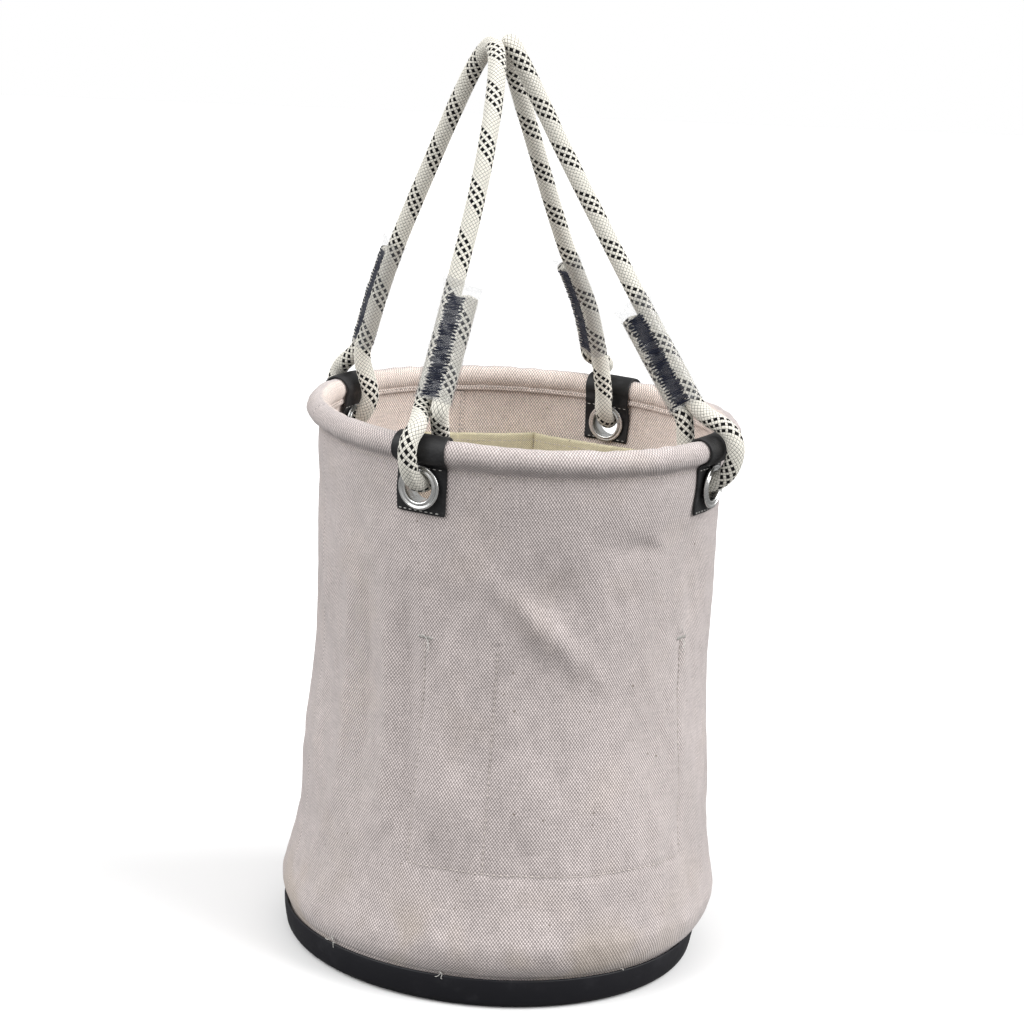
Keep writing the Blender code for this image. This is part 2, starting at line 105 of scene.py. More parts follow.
TAPE_HEIGHT = 0.0200
TAPE_T = 0.0006
SEAM_ANGLE = 93.75
SEAM_HALF_WIDTH = 0.0070

CANVAS_OUTLINE = [              # mid radius and height of the wall
    (0.1440, 0.0042), (0.1455, 0.0222), (0.1490, 0.0268), (0.1532, 0.0345), (0.1546, 0.0460),
    (0.1520, 0.0610), (0.1467, 0.0950), (0.1446, 0.1350), (0.1403, 0.1950), (0.1388, 0.2600),
    (0.1395, 0.3250), (WALL_TOP_R, 0.3560), (WALL_TOP_R, 0.3738),
]
SPAN_ROUTES = {
    "left": [
        (-0.1010, -0.0920, 0.4120), (-0.0900, -0.0840, 0.4520), (-0.0770, -0.0730, 0.4990),
        (-0.0640, -0.0600, 0.5450), (-0.0515, -0.0400, 0.5900), (-0.0415, -0.0140, 0.6260),
        (-0.0374, 0.0140, 0.6400), (-0.0425, 0.0360, 0.6220), (-0.0530, 0.0530, 0.5830),
        (-0.0650, 0.0670, 0.5390), (-0.0780, 0.0780, 0.4930), (-0.0878, 0.0853, 0.4520),
        (-0.0955, 0.0902, 0.4120),
    ],
    "right": [
        (0.0923, -0.0923, 0.4120), (0.0730, -0.0710, 0.4490), (0.0530, -0.0510, 0.4880),
        (0.0325, -0.0320, 0.5290), (0.0120, -0.0140, 0.5700), (-0.0070, 0.0010, 0.6090),
        (-0.0190, 0.0095, 0.6330), (-0.0232, 0.0185, 0.6420), (-0.0188, 0.0285, 0.6300),
        (-0.0070, 0.0370, 0.6040), (0.0090, 0.0470, 0.5700), (0.0270, 0.0570, 0.5310),
        (0.0460, 0.0667, 0.4920), (0.0681, 0.0746, 0.4510), (0.0824, 0.0833, 0.4120),
    ],
}
EYES = {
    "front": {"azimuth": -135, "handle": "left", "span_side": 135, "outer": "span", "lean": 0.0},
    "left": {"azimuth": 135, "handle": "left", "span_side": -90, "outer": "tail", "lean": -0.0140},
    "right": {"azimuth": -45, "handle": "right", "span_side": -45, "outer": "span", "lean": 0.0},
    "back": {"azimuth": 45, "handle": "right", "span_side": -78, "outer": "tail", "lean": 0.0220},
}
POCKETS = {
    "front": {"lines": [-132, -111, -50], "bottom": 0.0960, "top": 0.2560},
    "back": {"lines": [29, 68, 107], "bottom": 0.1500, "top": 0.3430},
}

# How far the soft wall hangs over to one side, and how far its waist draws in.
LEAN_AZIMUTH = -18.4
LEAN_HEIGHTS = [0.022, 0.030, 0.048, 0.100, 0.150, 0.200, 0.250, 0.300]
LEAN_SHIFTS = [0.0000, 0.0020, 0.0052, 0.0058, 0.0034, 0.0022, 0.0010, 0.0000]
WAIST_HEIGHTS = [0.100, 0.148, 0.183, 0.218, 0.252, 0.300]
WAIST_DEPTHS = [0.0000, 0.0008, 0.0026, 0.0030, 0.0020, 0.0000]

# Broad, middling and fine unevenness of the wall: size, then seed, count, turns and rise.
RIPPLES = [
    (0.0013, 3, 14, (2, 7), (4, 26)),
    (0.00055, 8, 22, (8, 24), (15, 90)),
    (0.00022, 21, 26, (26, 60), (60, 240)),
]
# Creases of the wall: both ends as (degrees, height), how far they stand out, and width.
FOLDS = [
    ((-114, 0.300), (-82, 0.233), 0.0042, 0.0100),
    ((-70, 0.334), (-62, 0.322), 0.0016, 0.0050),
    ((-141, 0.120), (-146, 0.290), 0.00288, 0.0075),
    ((-133, 0.120), (-138, 0.290), -0.00256, 0.0075),
    ((-150, 0.120), (-154, 0.290), -0.00256, 0.0075),
    ((-160, 0.120), (-163, 0.290), 0.00224, 0.0075),
    ((-126, 0.120), (-122, 0.290), 0.00160, 0.0075),
    ((-60, 0.270), (-45, 0.150), 0.0014, 0.0110),
    ((-48, 0.300), (-38, 0.180), -0.0014, 0.0110),
    ((-30, 0.290), (-18, 0.120), 0.0018, 0.0110),
    ((150, 0.300), (165, 0.130), 0.0018, 0.0110),
    ((-176, 0.250), (-168, 0.110), -0.0018, 0.0110),
    ((10, 0.280), (24, 0.160), 0.0016, 0.0110),
    ((75, 0.120), (52, 0.240), 0.0016, 0.0110),
    ((128, 0.260), (112, 0.120), -0.0016, 0.0110),
]
# Dents of the wall: middle as (degrees, height), half width, half height and depth.
HOLLOWS = [
    ((-98, 0.292), 0.024, 0.020, 0.0036),
    ((-97, 0.236), 0.018, 0.028, 0.0028),
    ((-72, 0.325), 0.016, 0.013, 0.0032),
]
# Loose thread ends: degrees, height, then how far each runs, rises and curls.
THREAD_ENDS = [
    (-133, 0.257, 0.008, -0.004, 0.0012), (-131, 0.254, 0.001, -0.013, 0.0010),
    (-132, 0.255, 0.004, -0.006, 0.0015), (-50, 0.252, 0.002, -0.012, 0.0010),
    (-49, 0.250, -0.004, -0.006, 0.0014), (-51, 0.255, -0.002, 0.006, 0.0010),
    (-155.0, 0.0262, 0.006, -0.003, 0.0014), (-154.6, 0.0262, 0.003, -0.008, 0.0010),
    (-155.4, 0.0262, -0.003, -0.004, 0.0014), (-154.8, 0.0262, 0.004, 0.002, 0.0018),
    (-120.5, 0.0245, 0.004, -0.004, 0.0012), (-120.0, 0.0245, -0.003, -0.003, 0.0012),
    (-70, 0.0245, 0.003, -0.002, 0.0008), (20, 0.0250, 0.004, -0.004, 0.0012),
    (140, 0.0255, -0.004, -0.005, 0.0012),
]

# Stitches: length, gap and thread radius.
RIM_STITCH = (0.0030, 0.0012, 0.00036)
WALL_STITCH = (0.0030, 0.0013, 0.00030)
SEAM_STITCH = (0.0032, 0.0012, 0.00034)
BINDING_STITCH = (0.0028, 0.0012, 0.00030)
STITCH_ARCH = np.array([-1.1, 0.25, 0.4, 0.25, -1.1])   # height along a stitch, in thread radii
RIM_ROW_Z = 0.3715              # the row of stitches just under the roll
SEAM_ROW_TURN = 2.0             # degrees from the seam's middle to each of its rows

# ---- colours ----------------------------------------------------------------------------
CLOTH_FINISH = {"Roughness": 0.92, "Sheen_Weight": 0.25, "Sheen_Roughness": 0.5, "Specular_IOR_Level": 0.18}
CANVAS_COLOUR = (0.540, 0.480, 0.466)
INSIDE_PAINTED_LIGHT = (1.46, 1.42, 1.34)        # painted light: the inside face is painted paler to stand in for light the deep inside lacks
LINING_COLOUR = (0.640, 0.560, 0.480)
BINDING_COLOUR = (0.660, 0.605, 0.420)
STAIN_COLOUR = (0.440, 0.360, 0.250)
HUSK_COLOUR = (0.16, 0.13, 0.10)
WARMTH = (1.02, 0.97, 0.86)
ROPE_WHITE = (0.800, 0.775, 0.700)
ROPE_BLACK = (0.005, 0.005, 0.006)
SEWING_COLOUR = (0.58, 0.53, 0.49)
WHITE_THREAD = (0.62, 0.61, 0.58)
WAXED_THREAD = (0.008, 0.011, 0.026)

# ---- fineness of the looks --------------------------------------------------------------
WALL_R = 0.1415                 # radius at which the cloth's yarns are counted
WARP = 0.00103                  # spacing of the duck's upright yarns
WEFT = 0.00143                  # spacing of its level yarns
BRAID_CARRIERS = 12             # strands laid each way round a rope
BRAID_PITCH = 0.036             # length of one turn of a strand
BLACK_OVERLAP = 0.18            # how far a black strand's float swells over its neighbours
CLOTH_COLUMNS = 640             # round the bucket
CLOTH_STEP = 0.0013             # up the wall
ROPE_COLUMNS = 96
ROPE_STEP = 0.0005
ROPE_EASE = 0.0060              # a rope's path is eased over this far each way
BRAID_RELIEF = 0.00030

# ---- camera and light ---------------------------------------------------------------------
CAMERA_DISTANCE = 1.900         # level distance from the bucket's axis
CAMERA_HEIGHT = 0.7714
CAMERA_AZIMUTH = 18.4           # degrees, from -Y towards -X
CAMERA_YAW = -0.002
CAMERA_PITCH = 0.236
CAMERA_ROLL = 0.071
CAMERA_LENS = 96.94
SENSOR = 36.0
FLOOR_HALF = 6.0
FLOOR_SEEN = ((0.90, 0.90, 0.90), (0.92, 0.92, 0.92))
FLOOR_BOUNCE = (0.20, 0.20, 0.20)       # how much of the light the floor throws back
WORLD_LIGHT = 0.50
WORLD_SEEN = 1.0
SOFT_LIGHTS = {                 # azimuth from -Y, elevation, spread in degrees, strength
    "key": (58, 36, 50, 3.0),
    "fill": (-84, 36, 60, 2.3),
    "top": (0, 70, 80, 0.6),
}


# ---- small geometry --------------------------------------------------------------------
def unit(vectors):
    return vectors / np.linalg.norm(vectors, axis=-1, keepdims=True)


def on_cylinder(radius, angle, height):
    """Points from radius, angle in radians and height, which broadcast together."""
    radius, angle, height = np.broadcast_arrays(radius, angle, height)
    return np.stack([radius * np.cos(angle), radius * np.sin(angle), height], -1)


def catmull_rom(points, steps):
    """A smooth curve through the points."""
    points = np.asarray(points, float)
    ends = np.vstack([2 * points[0] - points[1], points, 2 * points[-1] - points[-2]])
    t = (np.arange(steps) / steps)[:, None]
    path = []
    for p0, p1, p2, p3 in zip(ends, ends[1:], ends[2:], ends[3:]):
        path.append(0.5 * (2 * p1 + (p2 - p0) * t + (2 * p0 - 5 * p1 + 4 * p2 - p3) * t ** 2
                           + (3 * p1 - p0 - 3 * p2 + p3) * t ** 3))
    return np.vstack(path + [points[-1:]])


def lengths_along(path):
    return np.concatenate([[0.0], np.cumsum(np.linalg.norm(np.diff(path, axis=0), axis=1))])


def resample(path, count):
    """The same path with evenly spaced points."""
    along = lengths_along(path)
    return point_at(np.linspace(0, along[-1], count), along, path)


def point_at(distances, along, path):
    """Points of a path at some distances along it."""
    return np.stack([np.interp(distances, along, path[:, k]) for k in range(path.shape[1])], 1)


def smooth_line(points, step, steps):
    """A smooth curve through the points, with evenly spaced points of its own."""
    path = catmull_rom(points, steps)
    return resample(path, max(3, int(round(lengths_along(path)[-1] / step)) + 1))


def arc(centre, radius, start, end, steps):
    angles = np.radians(np.linspace(start, end, steps + 1))
    return [(centre[0] + radius * cos(a), centre[1] + radius * sin(a)) for a in angles]


def bump_at(distance, width):
    """1 at distance 0, falling smoothly to 0 over about twice the width."""
    return np.exp(-(distance / width) ** 2)


def step_between(value, low, high):
    t = np.clip((value - low) / (high - low), 0, 1)
    return t * t * (3 - 2 * t)


def waves(angle, height, seed, count, turns, rise):
    """Smooth seeded unevenness about 0, whole round the bucket, mostly within -1 to 1."""
    random = np.random.RandomState(seed)
    total = 0.0
    for _ in range(count):
        k = random.randint(turns[0], turns[1] + 1)
        m = random.uniform(*rise) * random.choice([-1, 1])
        total = total + np.sin(k * angle + m * height + random.uniform(0, tau))
    return total / np.sqrt(count)


def canvas_radius(height):
    radii, heights = zip(*CANVAS_OUTLINE)
    return np.interp(height, heights, radii)


def fix(piece, body, slot, *nodes):
    """A piece rides on a body and stands for some CAD nodes, which it hides; the slot is not used."""
    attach(piece, body)
    if nodes:
        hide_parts(*nodes)


# ---- meshes from grids -----------------------------------------------------------------
def mesh_object(name, points, faces, material, uvs=None):
    """An object from points, quads and one (u, v) for each corner of each quad."""
    used, compact = np.unique(faces, return_inverse=True)
    faces = compact.reshape(faces.shape)
    points = np.asarray(points, np.float32)[used]
    mesh = bpy.data.meshes.new(name)
    mesh.vertices.add(len(points))
    mesh.vertices.foreach_set("co", points.ravel())
    mesh.loops.add(faces.size)
    mesh.loops.foreach_set("vertex_index", faces.ravel().astype(np.int32))
    mesh.polygons.add(len(faces))
    mesh.polygons.foreach_set("loop_start", np.arange(0, faces.size, 4, dtype=np.int32))
    if uvs is not None:
        layer = mesh.uv_layers.new(name="cloth")
        layer.data.foreach_set("uv", np.asarray(uvs, np.float32).ravel())
    mesh.update(calc_edges=True)
    mesh.validate()
    mesh.shade_smooth()
    mesh.materials.append(material)
    obj = bpy.data.objects.new(name, mesh)
    bpy.context.scene.collection.objects.link(obj)
    return obj


def grid_quads(rows, columns, closed):
    """Quads of a grid of rows by columns; closed joins the last row to the first."""
    i = np.arange(rows if closed else rows - 1)
    j = np.arange(columns - 1)
    i, j = np.meshgrid(i, j, indexing="ij")
    after = (i + 1) % rows
    return np.stack([i * columns + j, after * columns + j,
                     after * columns + j + 1, i * columns + j + 1], -1)


def grid_uvs(u, v):
    """Corner coordinates for grid_quads, from one u for each row edge and v for each column."""
    rows, columns = len(u) - 1, len(v) - 1
    i, j = np.meshgrid(np.arange(rows), np.arange(columns), indexing="ij")
    corners = [(i, j), (i + 1, j), (i + 1, j + 1), (i, j + 1)]
    return np.stack([np.stack([u[a], v[b]], -1) for a, b in corners], 2)


def grid_normals(points, closed):
    if closed:
        across = np.roll(points, -1, 0) - np.roll(points, 1, 0)
    else:
        across = np.gradient(points, axis=0)
    return unit(np.cross(across, np.gradient(points, axis=1)))


def slab(name, points, thickness, material, u, v, closed=False, holes=None):
    """A closed sheet of the given thickness about a grid of points, with its edges walled."""
    rows, columns = points.shape[:2]
    normals = grid_normals(points, closed)
    half = normals * (np.broadcast_to(thickness, (rows, columns)) / 2)[..., None]
    quads = grid_quads(rows, columns, closed)
    uvs = grid_uvs(u, v)
    keep = np.ones(quads.shape[:2], bool)
    if holes is not None:
        middle = points.reshape(-1, 3)[quads].mean(2)
        keep = ~holes(middle)
    quads, uvs = quads[keep], uvs[keep]
    edges = np.stack([quads, np.roll(quads, -1, 1)], -1).reshape(-1, 2)
    edge_uvs = np.stack([uvs, np.roll(uvs, -1, 1)], 2).reshape(-1, 2, 2)
    _, first, count = np.unique(np.sort(edges, 1), axis=0, return_index=True, return_counts=True)
    rim = first[count == 1]
    start, end = edges[rim, 0], edges[rim, 1]
    under = rows * columns
    walls = np.stack([end, start, start + under, end + under], 1)
    wall_uvs = edge_uvs[rim][:, [1, 0, 0, 1]]
    every = np.vstack([quads, quads[:, ::-1] + under, walls])
    every_uv = np.concatenate([uvs, uvs[:, ::-1], wall_uvs])
    both = np.vstack([(points + half).reshape(-1, 3), (points - half).reshape(-1, 3)])
    return mesh_object(name, both, every, material, every_uv)


def edge_taper(rows, columns, ends=True):
    """Full thickness inside a sheet and less at its edges, so that they look rounded."""
    taper = np.ones((rows, columns))
    for k, share in enumerate((0.35, 0.80)):
        taper[k, :] = np.minimum(taper[k, :], share)
        taper[-1 - k, :] = np.minimum(taper[-1 - k, :], share)
        if ends:
            taper[:, k] = np.minimum(taper[:, k], share)
            taper[:, -1 - k] = np.minimum(taper[:, -1 - k], share)
    return taper


def turned(name, section, material, segments):
    """A closed (radius, height) section turned about +Z."""
    section = np.asarray(section + [section[0]], float)
    angles = np.arange(segments) * tau / segments
    points = on_cylinder(section[None, :-1, 0], angles[:, None], section[None, :-1, 1])
    columns = len(section) - 1
    i, j = np.meshgrid(np.arange(segments), np.arange(columns), indexing="ij")
    after, above = (i + 1) % segments, (j + 1) % columns
    quads = np.stack([i * columns + j, i * columns + above,
                      after * columns + above, after * columns + j], -1).reshape(-1, 4)
    return mesh_object(name, points.reshape(-1, 3), quads[:, ::-1], material)


def transported(path):
    """Unit directions, and two cross directions that don't twist, along a path."""
    along = unit(np.gradient(path, axis=0))
    side = np.zeros_like(path)
    first = np.cross(along[0], (0, 0, 1.0))
    if np.linalg.norm(first) < 0.1:
        first = np.cross(along[0], (0, 1.0, 0))
    side[0] = unit(first)
    for i in range(1, len(path)):
        turned_side = side[i - 1] - along[i] * np.dot(side[i - 1], along[i])
        side[i] = turned_side / np.linalg.norm(turned_side)
    return along, side, np.cross(along, side)


def tube_rings(path, radii, sides):
    """Rings round a path; radii holds one radius for each point, or one for each vertex."""
    _, side, other = transported(path)
    angles = np.arange(sides) * tau / sides
    radii = np.broadcast_to(np.asarray(radii, float).reshape(len(path), -1), (len(path), sides))
    round_about = (side[:, None] * np.cos(angles)[None, :, None]
                   + other[:, None] * np.sin(angles)[None, :, None])
    return path[:, None] + round_about * radii[..., None]


def ring_faces(count, sides, start=0):
    """Quads of a tube of count rings, with both ends closed by quads."""
    i, k = np.meshgrid(np.arange(count - 1), np.arange(sides), indexing="ij")
    after = (k + 1) % sides
    body = np.stack([i * sides + k, i * sides + after,
                     (i + 1) * sides + after, (i + 1) * sides + k], -1).reshape(-1, 4)
    k = np.arange(sides // 2 - 1)
    cap = np.stack([k, k + 1, sides - 2 - k, sides - 1 - k], 1)
    return np.vstack([body, cap[:, ::-1], cap + (count - 1) * sides]) + start


def thread_mesh(name, threads, material, sides=6):
    """Many short threads as one piece; each is a list of points and a radius."""
    points, faces, start = [], [], 0
    for path, radius in threads:
        path = np.asarray(path, float)
        ends = np.ones(len(path))
        ends[[0, -1]] = 0.55
        points.append(tube_rings(path, radius * ends, sides).reshape(-1, 3))
        faces.append(ring_faces(len(path), sides, start))
        start += len(path) * sides
    return mesh_object(name, np.vstack(points), np.vstack(faces), material)


def stitch_row(line, normals, length, gap, radius, seed):
    """Threads of one row of stitching that follows a line on a surface."""
    random = np.random.RandomState(seed)
    along = lengths_along(line)
    threads = []
    start = gap / 2
    while start + length < along[-1]:
        stretch = np.linspace(start, start + length * random.uniform(0.90, 1.06), 5)
        middle = point_at(stretch, along, line)
        out = unit(point_at(stretch, along, normals))
        height = radius * STITCH_ARCH
        threads.append((middle + out * height[:, None], radius * random.uniform(0.9, 1.1)))
        start += length + gap
    return threads


# ---- materials ---------------------------------------------------------------------------
class Graph:
    """A Principled material's node tree, with short calls for the nodes used here."""

    def __init__(self, name, **uniform):
        self.material = bpy.data.materials.new(name)
        self.material.use_nodes = True
        self.tree = self.material.node_tree
        self.shader = self.tree.nodes["Principled BSDF"]
        for socket, value in uniform.items():
            self.shader.inputs[socket.replace("_", " ")].default_value = value

    def put(self, socket, value):
        if isinstance(value, bpy.types.NodeSocket):
            self.tree.links.new(value, socket)
        else:
            socket.default_value = value

    def node(self, kind, **inputs):
        made = self.tree.nodes.new(kind)
        for name, value in inputs.items():
            self.put(made.inputs[name], value)
        return made

    def math(self, operation, a, b=0.0, c=0.0):
        made = self.tree.nodes.new("ShaderNodeMath")
        made.operation = operation
        for socket, value in zip(made.inputs, (a, b, c)):
            self.put(socket, value)
        return made.outputs[0]

    def times(self, a, b):
        return self.math("MULTIPLY", a, b)

    def plus(self, a, b):
        return self.math("ADD", a, b)

    def floor(self, value):
        return self.math("FLOOR", value)

    def odd(self, value):
        """The remainder of a whole number halved."""
        return self.math("FLOORED_MODULO", value, 2.0)

    def mix(self, factor, a, b, blend="MIX"):
        made = self.tree.nodes.new("ShaderNodeMix")
        made.data_type = "RGBA"
        made.blend_type = blend
        self.put(made.inputs[0], factor)
        self.put(made.inputs[6], a if isinstance(a, bpy.types.NodeSocket) else (*a, 1.0))
        self.put(made.inputs[7], b if isinstance(b, bpy.types.NodeSocket) else (*b, 1.0))
        return made.outputs[2]

    def uv(self):
        made = self.tree.nodes.new("ShaderNodeUVMap")
        made.uv_map = "cloth"
        return made.outputs[0]

    def place(self):
        return self.tree.nodes.new("ShaderNodeTexCoord").outputs["Object"]

    def parts(self, vector):
        return self.node("ShaderNodeSeparateXYZ", Vector=vector).outputs

    def vector(self, x, y, z=0.0):
        return self.node("ShaderNodeCombineXYZ", X=x, Y=y, Z=z).outputs[0]

    def noise(self, vector, scale, detail=2.0, roughness=0.5):
        made = self.node("ShaderNodeTexNoise", Vector=vector, Scale=scale, Detail=detail,
                         Roughness=roughness)
        return made.outputs["Fac"]

    def range(self, value, low, high, to_low=0.0, to_high=1.0):
        made = self.tree.nodes.new("ShaderNodeMapRange")
        made.interpolation_type = "SMOOTHSTEP"
        for socket, number in zip(made.inputs, (value, low, high, to_low, to_high)):
            self.put(socket, number)
        return made.outputs[0]

    def product(self, *bands):
        """The bands multiplied, each one a value, its range and what that range becomes."""
        total = self.range(*bands[0])
        for band in bands[1:]:
            total = self.times(total, self.range(*band))
        return total

    def shaded(self, colour, *bands):
        shade = self.product(*bands)
        return self.mix(1.0, colour, self.vector(shade, shade, shade), "MULTIPLY")

    def bump(self, height, distance, under=None):
        made = self.node("ShaderNodeBump", Height=height, Distance=distance, Strength=1.0)
        if under is not None:
            self.put(made.inputs["Normal"], under)
        return made.outputs[0]

    def finish(self, colour=None, normal=None, roughness=None):
        for name, value in (("Base Color", colour), ("Normal", normal), ("Roughness", roughness)):
            if value is not None:
                self.put(self.shader.inputs[name], value)
        return self.material


def weave(graph, vector, warp, weft):
    """Plain weave over metre coordinates: 1 on a warp yarn's float, -1 on a weft yarn's."""
    drift = graph.noise(vector, 45.0, 2.0)
    u, v, _ = graph.parts(vector)
    u = graph.math("MULTIPLY_ADD", drift, warp * 0.9, u)
    v = graph.math("MULTIPLY_ADD", drift, weft * 0.9, v)
    across = graph.math("SINE", graph.times(u, pi / warp))
    upward = graph.math("SINE", graph.times(v, pi / weft))
    return graph.times(across, upward)


def woven(graph, colour, warp, weft, depth, dirt=1.0):
    """Tone and normal of cotton: warp floats stand proud and are painted lighter, the sunken weft painted
    darker as painted shade; slubs, smudges and husk flecks.
    """
    vector = graph.uv()
    u, v, _ = graph.parts(vector)
    floats = weave(graph, vector, warp, weft)
    streak_u = graph.noise(graph.vector(graph.times(u, 0.08), v), 900.0, 1.0)
    streak_v = graph.noise(graph.vector(u, graph.times(v, 0.08)), 900.0, 1.0)
    streaks = graph.plus(streak_u, streak_v)
    broad = graph.noise(vector, 14.0, 3.0)
    middle = graph.noise(vector, 70.0, 3.0, 0.6)
    grain = graph.noise(vector, 520.0, 2.0, 0.6)
    flecks = graph.range(graph.noise(vector, 260.0, 1.0, 0.4), 0.765, 0.80)
    warm = tuple(c * f for c, f in zip(colour, WARMTH))
    patches = graph.range(graph.noise(vector, 22.0, 2.0), 0.50, 0.72, 0.0, 0.16 * dirt)
    tone = graph.mix(patches, colour, warm)
    tone = graph.mix(graph.times(flecks, 0.75), tone, HUSK_COLOUR)
    tone = graph.shaded(
        tone,
        # painted light and shade: proud warp floats lighter, sunken weft yarns darker
        (floats, -0.55, 0.75, 0.58, 1.42),
        (streaks, 0.6, 1.4, 0.90, 1.10),
        (broad, 0.3, 0.7, 1 - 0.06 * dirt, 1 + 0.04 * dirt),
        (middle, 0.3, 0.7, 1 - 0.04 * dirt, 1 + 0.03 * dirt),
        (grain, 0.3, 0.7, 0.94, 1.06),
    )
    slubs = graph.bump(streaks, 0.00016, under=graph.bump(grain, 0.00012))
    return tone, graph.bump(floats, depth, under=slubs)


def cloth_material(name, *cloth):
    graph = Graph(name, **CLOTH_FINISH)
    return graph.finish(*woven(graph, *cloth))


def canvas_material():
    """The bucket's duck, with yellowish stains low on the wall and its inside face painted paler as painted
    light for the shaded inside.
    """
    graph = Graph("canvas_duck", **CLOTH_FINISH)
    tone, normal = woven(graph, CANVAS_COLOUR, WARP, WEFT, 0.00022)
    place = graph.place()
    x, y, height = graph.parts(place)
    low = graph.range(height, 0.025, 0.085, 1.0, 0.0)
    spots = graph.range(graph.noise(place, 17.0, 2.0), 0.48, 0.66)
    tone = graph.mix(graph.times(graph.times(low, spots), 0.38), tone, STAIN_COLOUR)
    normal_x, normal_y, _ = graph.parts(graph.node("ShaderNodeTexCoord").outputs["Normal"])
    facing = graph.math("MULTIPLY_ADD", x, normal_x, graph.times(y, normal_y))
    # painted light: faces turned towards the bucket's axis are painted paler
    inside = graph.range(facing, -0.06, -0.01, 1.0, 0.0)
    tone = graph.mix(inside, tone, graph.mix(1.0, tone, INSIDE_PAINTED_LIGHT, "MULTIPLY"))
    return graph.finish(tone, normal)


def rope_material():
    """Braided yarns: twelve strands each way, three of them black along one way; grooves between yarns,
    strand edges and tucks are darkened as painted shade.
    """
    graph = Graph("rope_braid", Roughness=0.80, Sheen_Weight=0.04, Specular_IOR_Level=0.15)
    vector = graph.uv()
    u, v, _ = graph.parts(vector)
    advance = graph.times(v, BRAID_CARRIERS / BRAID_PITCH)
    turn = graph.times(u, BRAID_CARRIERS)
    with_turn = graph.plus(advance, turn)
    against = graph.math("SUBTRACT", advance, turn)
    strand = graph.floor(with_turn)
    crossing = graph.floor(against)
    both = graph.plus(strand, crossing)
    on_top = graph.math("LESS_THAN", graph.odd(both), 0.5)
    longer = on_top
    for shift in (-BLACK_OVERLAP, BLACK_OVERLAP):
        beside = graph.floor(graph.plus(against, shift))
        parity = graph.odd(graph.plus(strand, beside))
        longer = graph.math("MAXIMUM", longer, graph.math("LESS_THAN", parity, 0.5))
    even = graph.math("LESS_THAN", graph.odd(strand), 0.5)
    early = graph.math("LESS_THAN", graph.math("FLOORED_MODULO", strand, BRAID_CARRIERS), 4.5)
    black = graph.times(longer, graph.times(even, early))
    across_with = graph.math("FRACT", with_turn)
    across_against = graph.math("FRACT", against)
    across = graph.plus(graph.times(on_top, across_with),
                        graph.times(graph.math("SUBTRACT", 1.0, on_top), across_against))
    lengthwise = graph.plus(graph.times(on_top, across_against),
                            graph.times(graph.math("SUBTRACT", 1.0, on_top), across_with))
    yarns = graph.math("ABSOLUTE", graph.math("SINE", graph.times(across, 2 * pi)))
    edge = graph.math("SINE", graph.times(across, pi))
    tuck = graph.math("SINE", graph.times(lengthwise, pi))
    fibre = graph.noise(vector, 2600.0, 2.0)
    soil = graph.noise(vector, 40.0, 3.0)
    tone = graph.shaded(
        graph.mix(black, ROPE_WHITE, ROPE_BLACK),
        # painted shade: darker between yarns, at strand edges and where a strand tucks under
        (yarns, 0.0, 0.8, 0.70, 1.05),
        (edge, 0.0, 0.50, 0.34, 1.05),
        (tuck, 0.0, 0.45, 0.42, 1.05),
        (fibre, 0.3, 0.7, 0.93, 1.05),
        (soil, 0.35, 0.7, 0.94, 1.03),
    )
    normal = graph.bump(fibre, 0.00008)
    return graph.finish(tone, graph.bump(yarns, 0.00022, under=normal))


def thread_material(name, colour, roughness):
    """Twisted sewing thread."""
    graph = Graph(name, Roughness=roughness, Sheen_Weight=0.04, Specular_IOR_Level=0.20)
    place = graph.place()
    twist = graph.noise(place, 2400.0, 2.0)
    shift = graph.noise(place, 160.0, 2.0)
    tone = graph.shaded(colour, (twist, 0.3, 0.7, 0.75, 1.15), (shift, 0.3, 0.7, 0.85, 1.10))
    return graph.finish(tone, graph.bump(twist, 0.00004))


def leather_material():
    """Black coated leather: pebbled grain, rubbed a little greyer in places."""
    graph = Graph("patch_leather", Roughness=0.5, Specular_IOR_Level=0.35)
    place = graph.place()
    cells = graph.node("ShaderNodeTexVoronoi", Vector=place, Scale=900.0)
    grain = graph.range(cells.outputs["Distance"], 0.0, 0.6)
    wear = graph.noise(place, 90.0, 4.0, 0.6)
    tone = graph.mix(graph.range(wear, 0.45, 0.75), (0.010, 0.010, 0.011), (0.030, 0.030, 0.032))
    rough = graph.range(wear, 0.3, 0.7, 0.42, 0.62)
    creases = graph.bump(graph.noise(place, 160.0, 3.0), 0.0004)
    return graph.finish(tone, graph.bump(grain, 0.00010, under=creases), rough)


def moulded_material():
    """Black moulded plastic: fine spark texture and a few scuffs."""
    graph = Graph("base_moulded", Roughness=0.45, Specular_IOR_Level=0.28)
    place = graph.place()
    spark = graph.noise(place, 1500.0, 2.0)
    scuff = graph.noise(place, 55.0, 5.0, 0.65)
    tone = graph.mix(graph.range(scuff, 0.50, 0.78), (0.009, 0.009, 0.012), (0.020, 0.020, 0.024))
    rough = graph.range(scuff, 0.35, 0.7, 0.42, 0.60)
    return graph.finish(tone, graph.bump(spark, 0.00006), rough)


def steel_material():
    """Bright plated steel with faint turning marks and handling haze."""
    graph = Graph("eyelet_steel", Metallic=1.0, Roughness=0.2)
    place = graph.place()
    haze = graph.noise(place, 240.0, 4.0, 0.6)
    tone = graph.mix(graph.range(haze, 0.3, 0.75), (0.74, 0.74, 0.73), (0.52, 0.52, 0.51))
    rough = graph.range(haze, 0.3, 0.7, 0.16, 0.34)
    marks = graph.noise(place, 1400.0, 1.0)
    return graph.finish(tone, graph.bump(marks, 0.00003), rough)


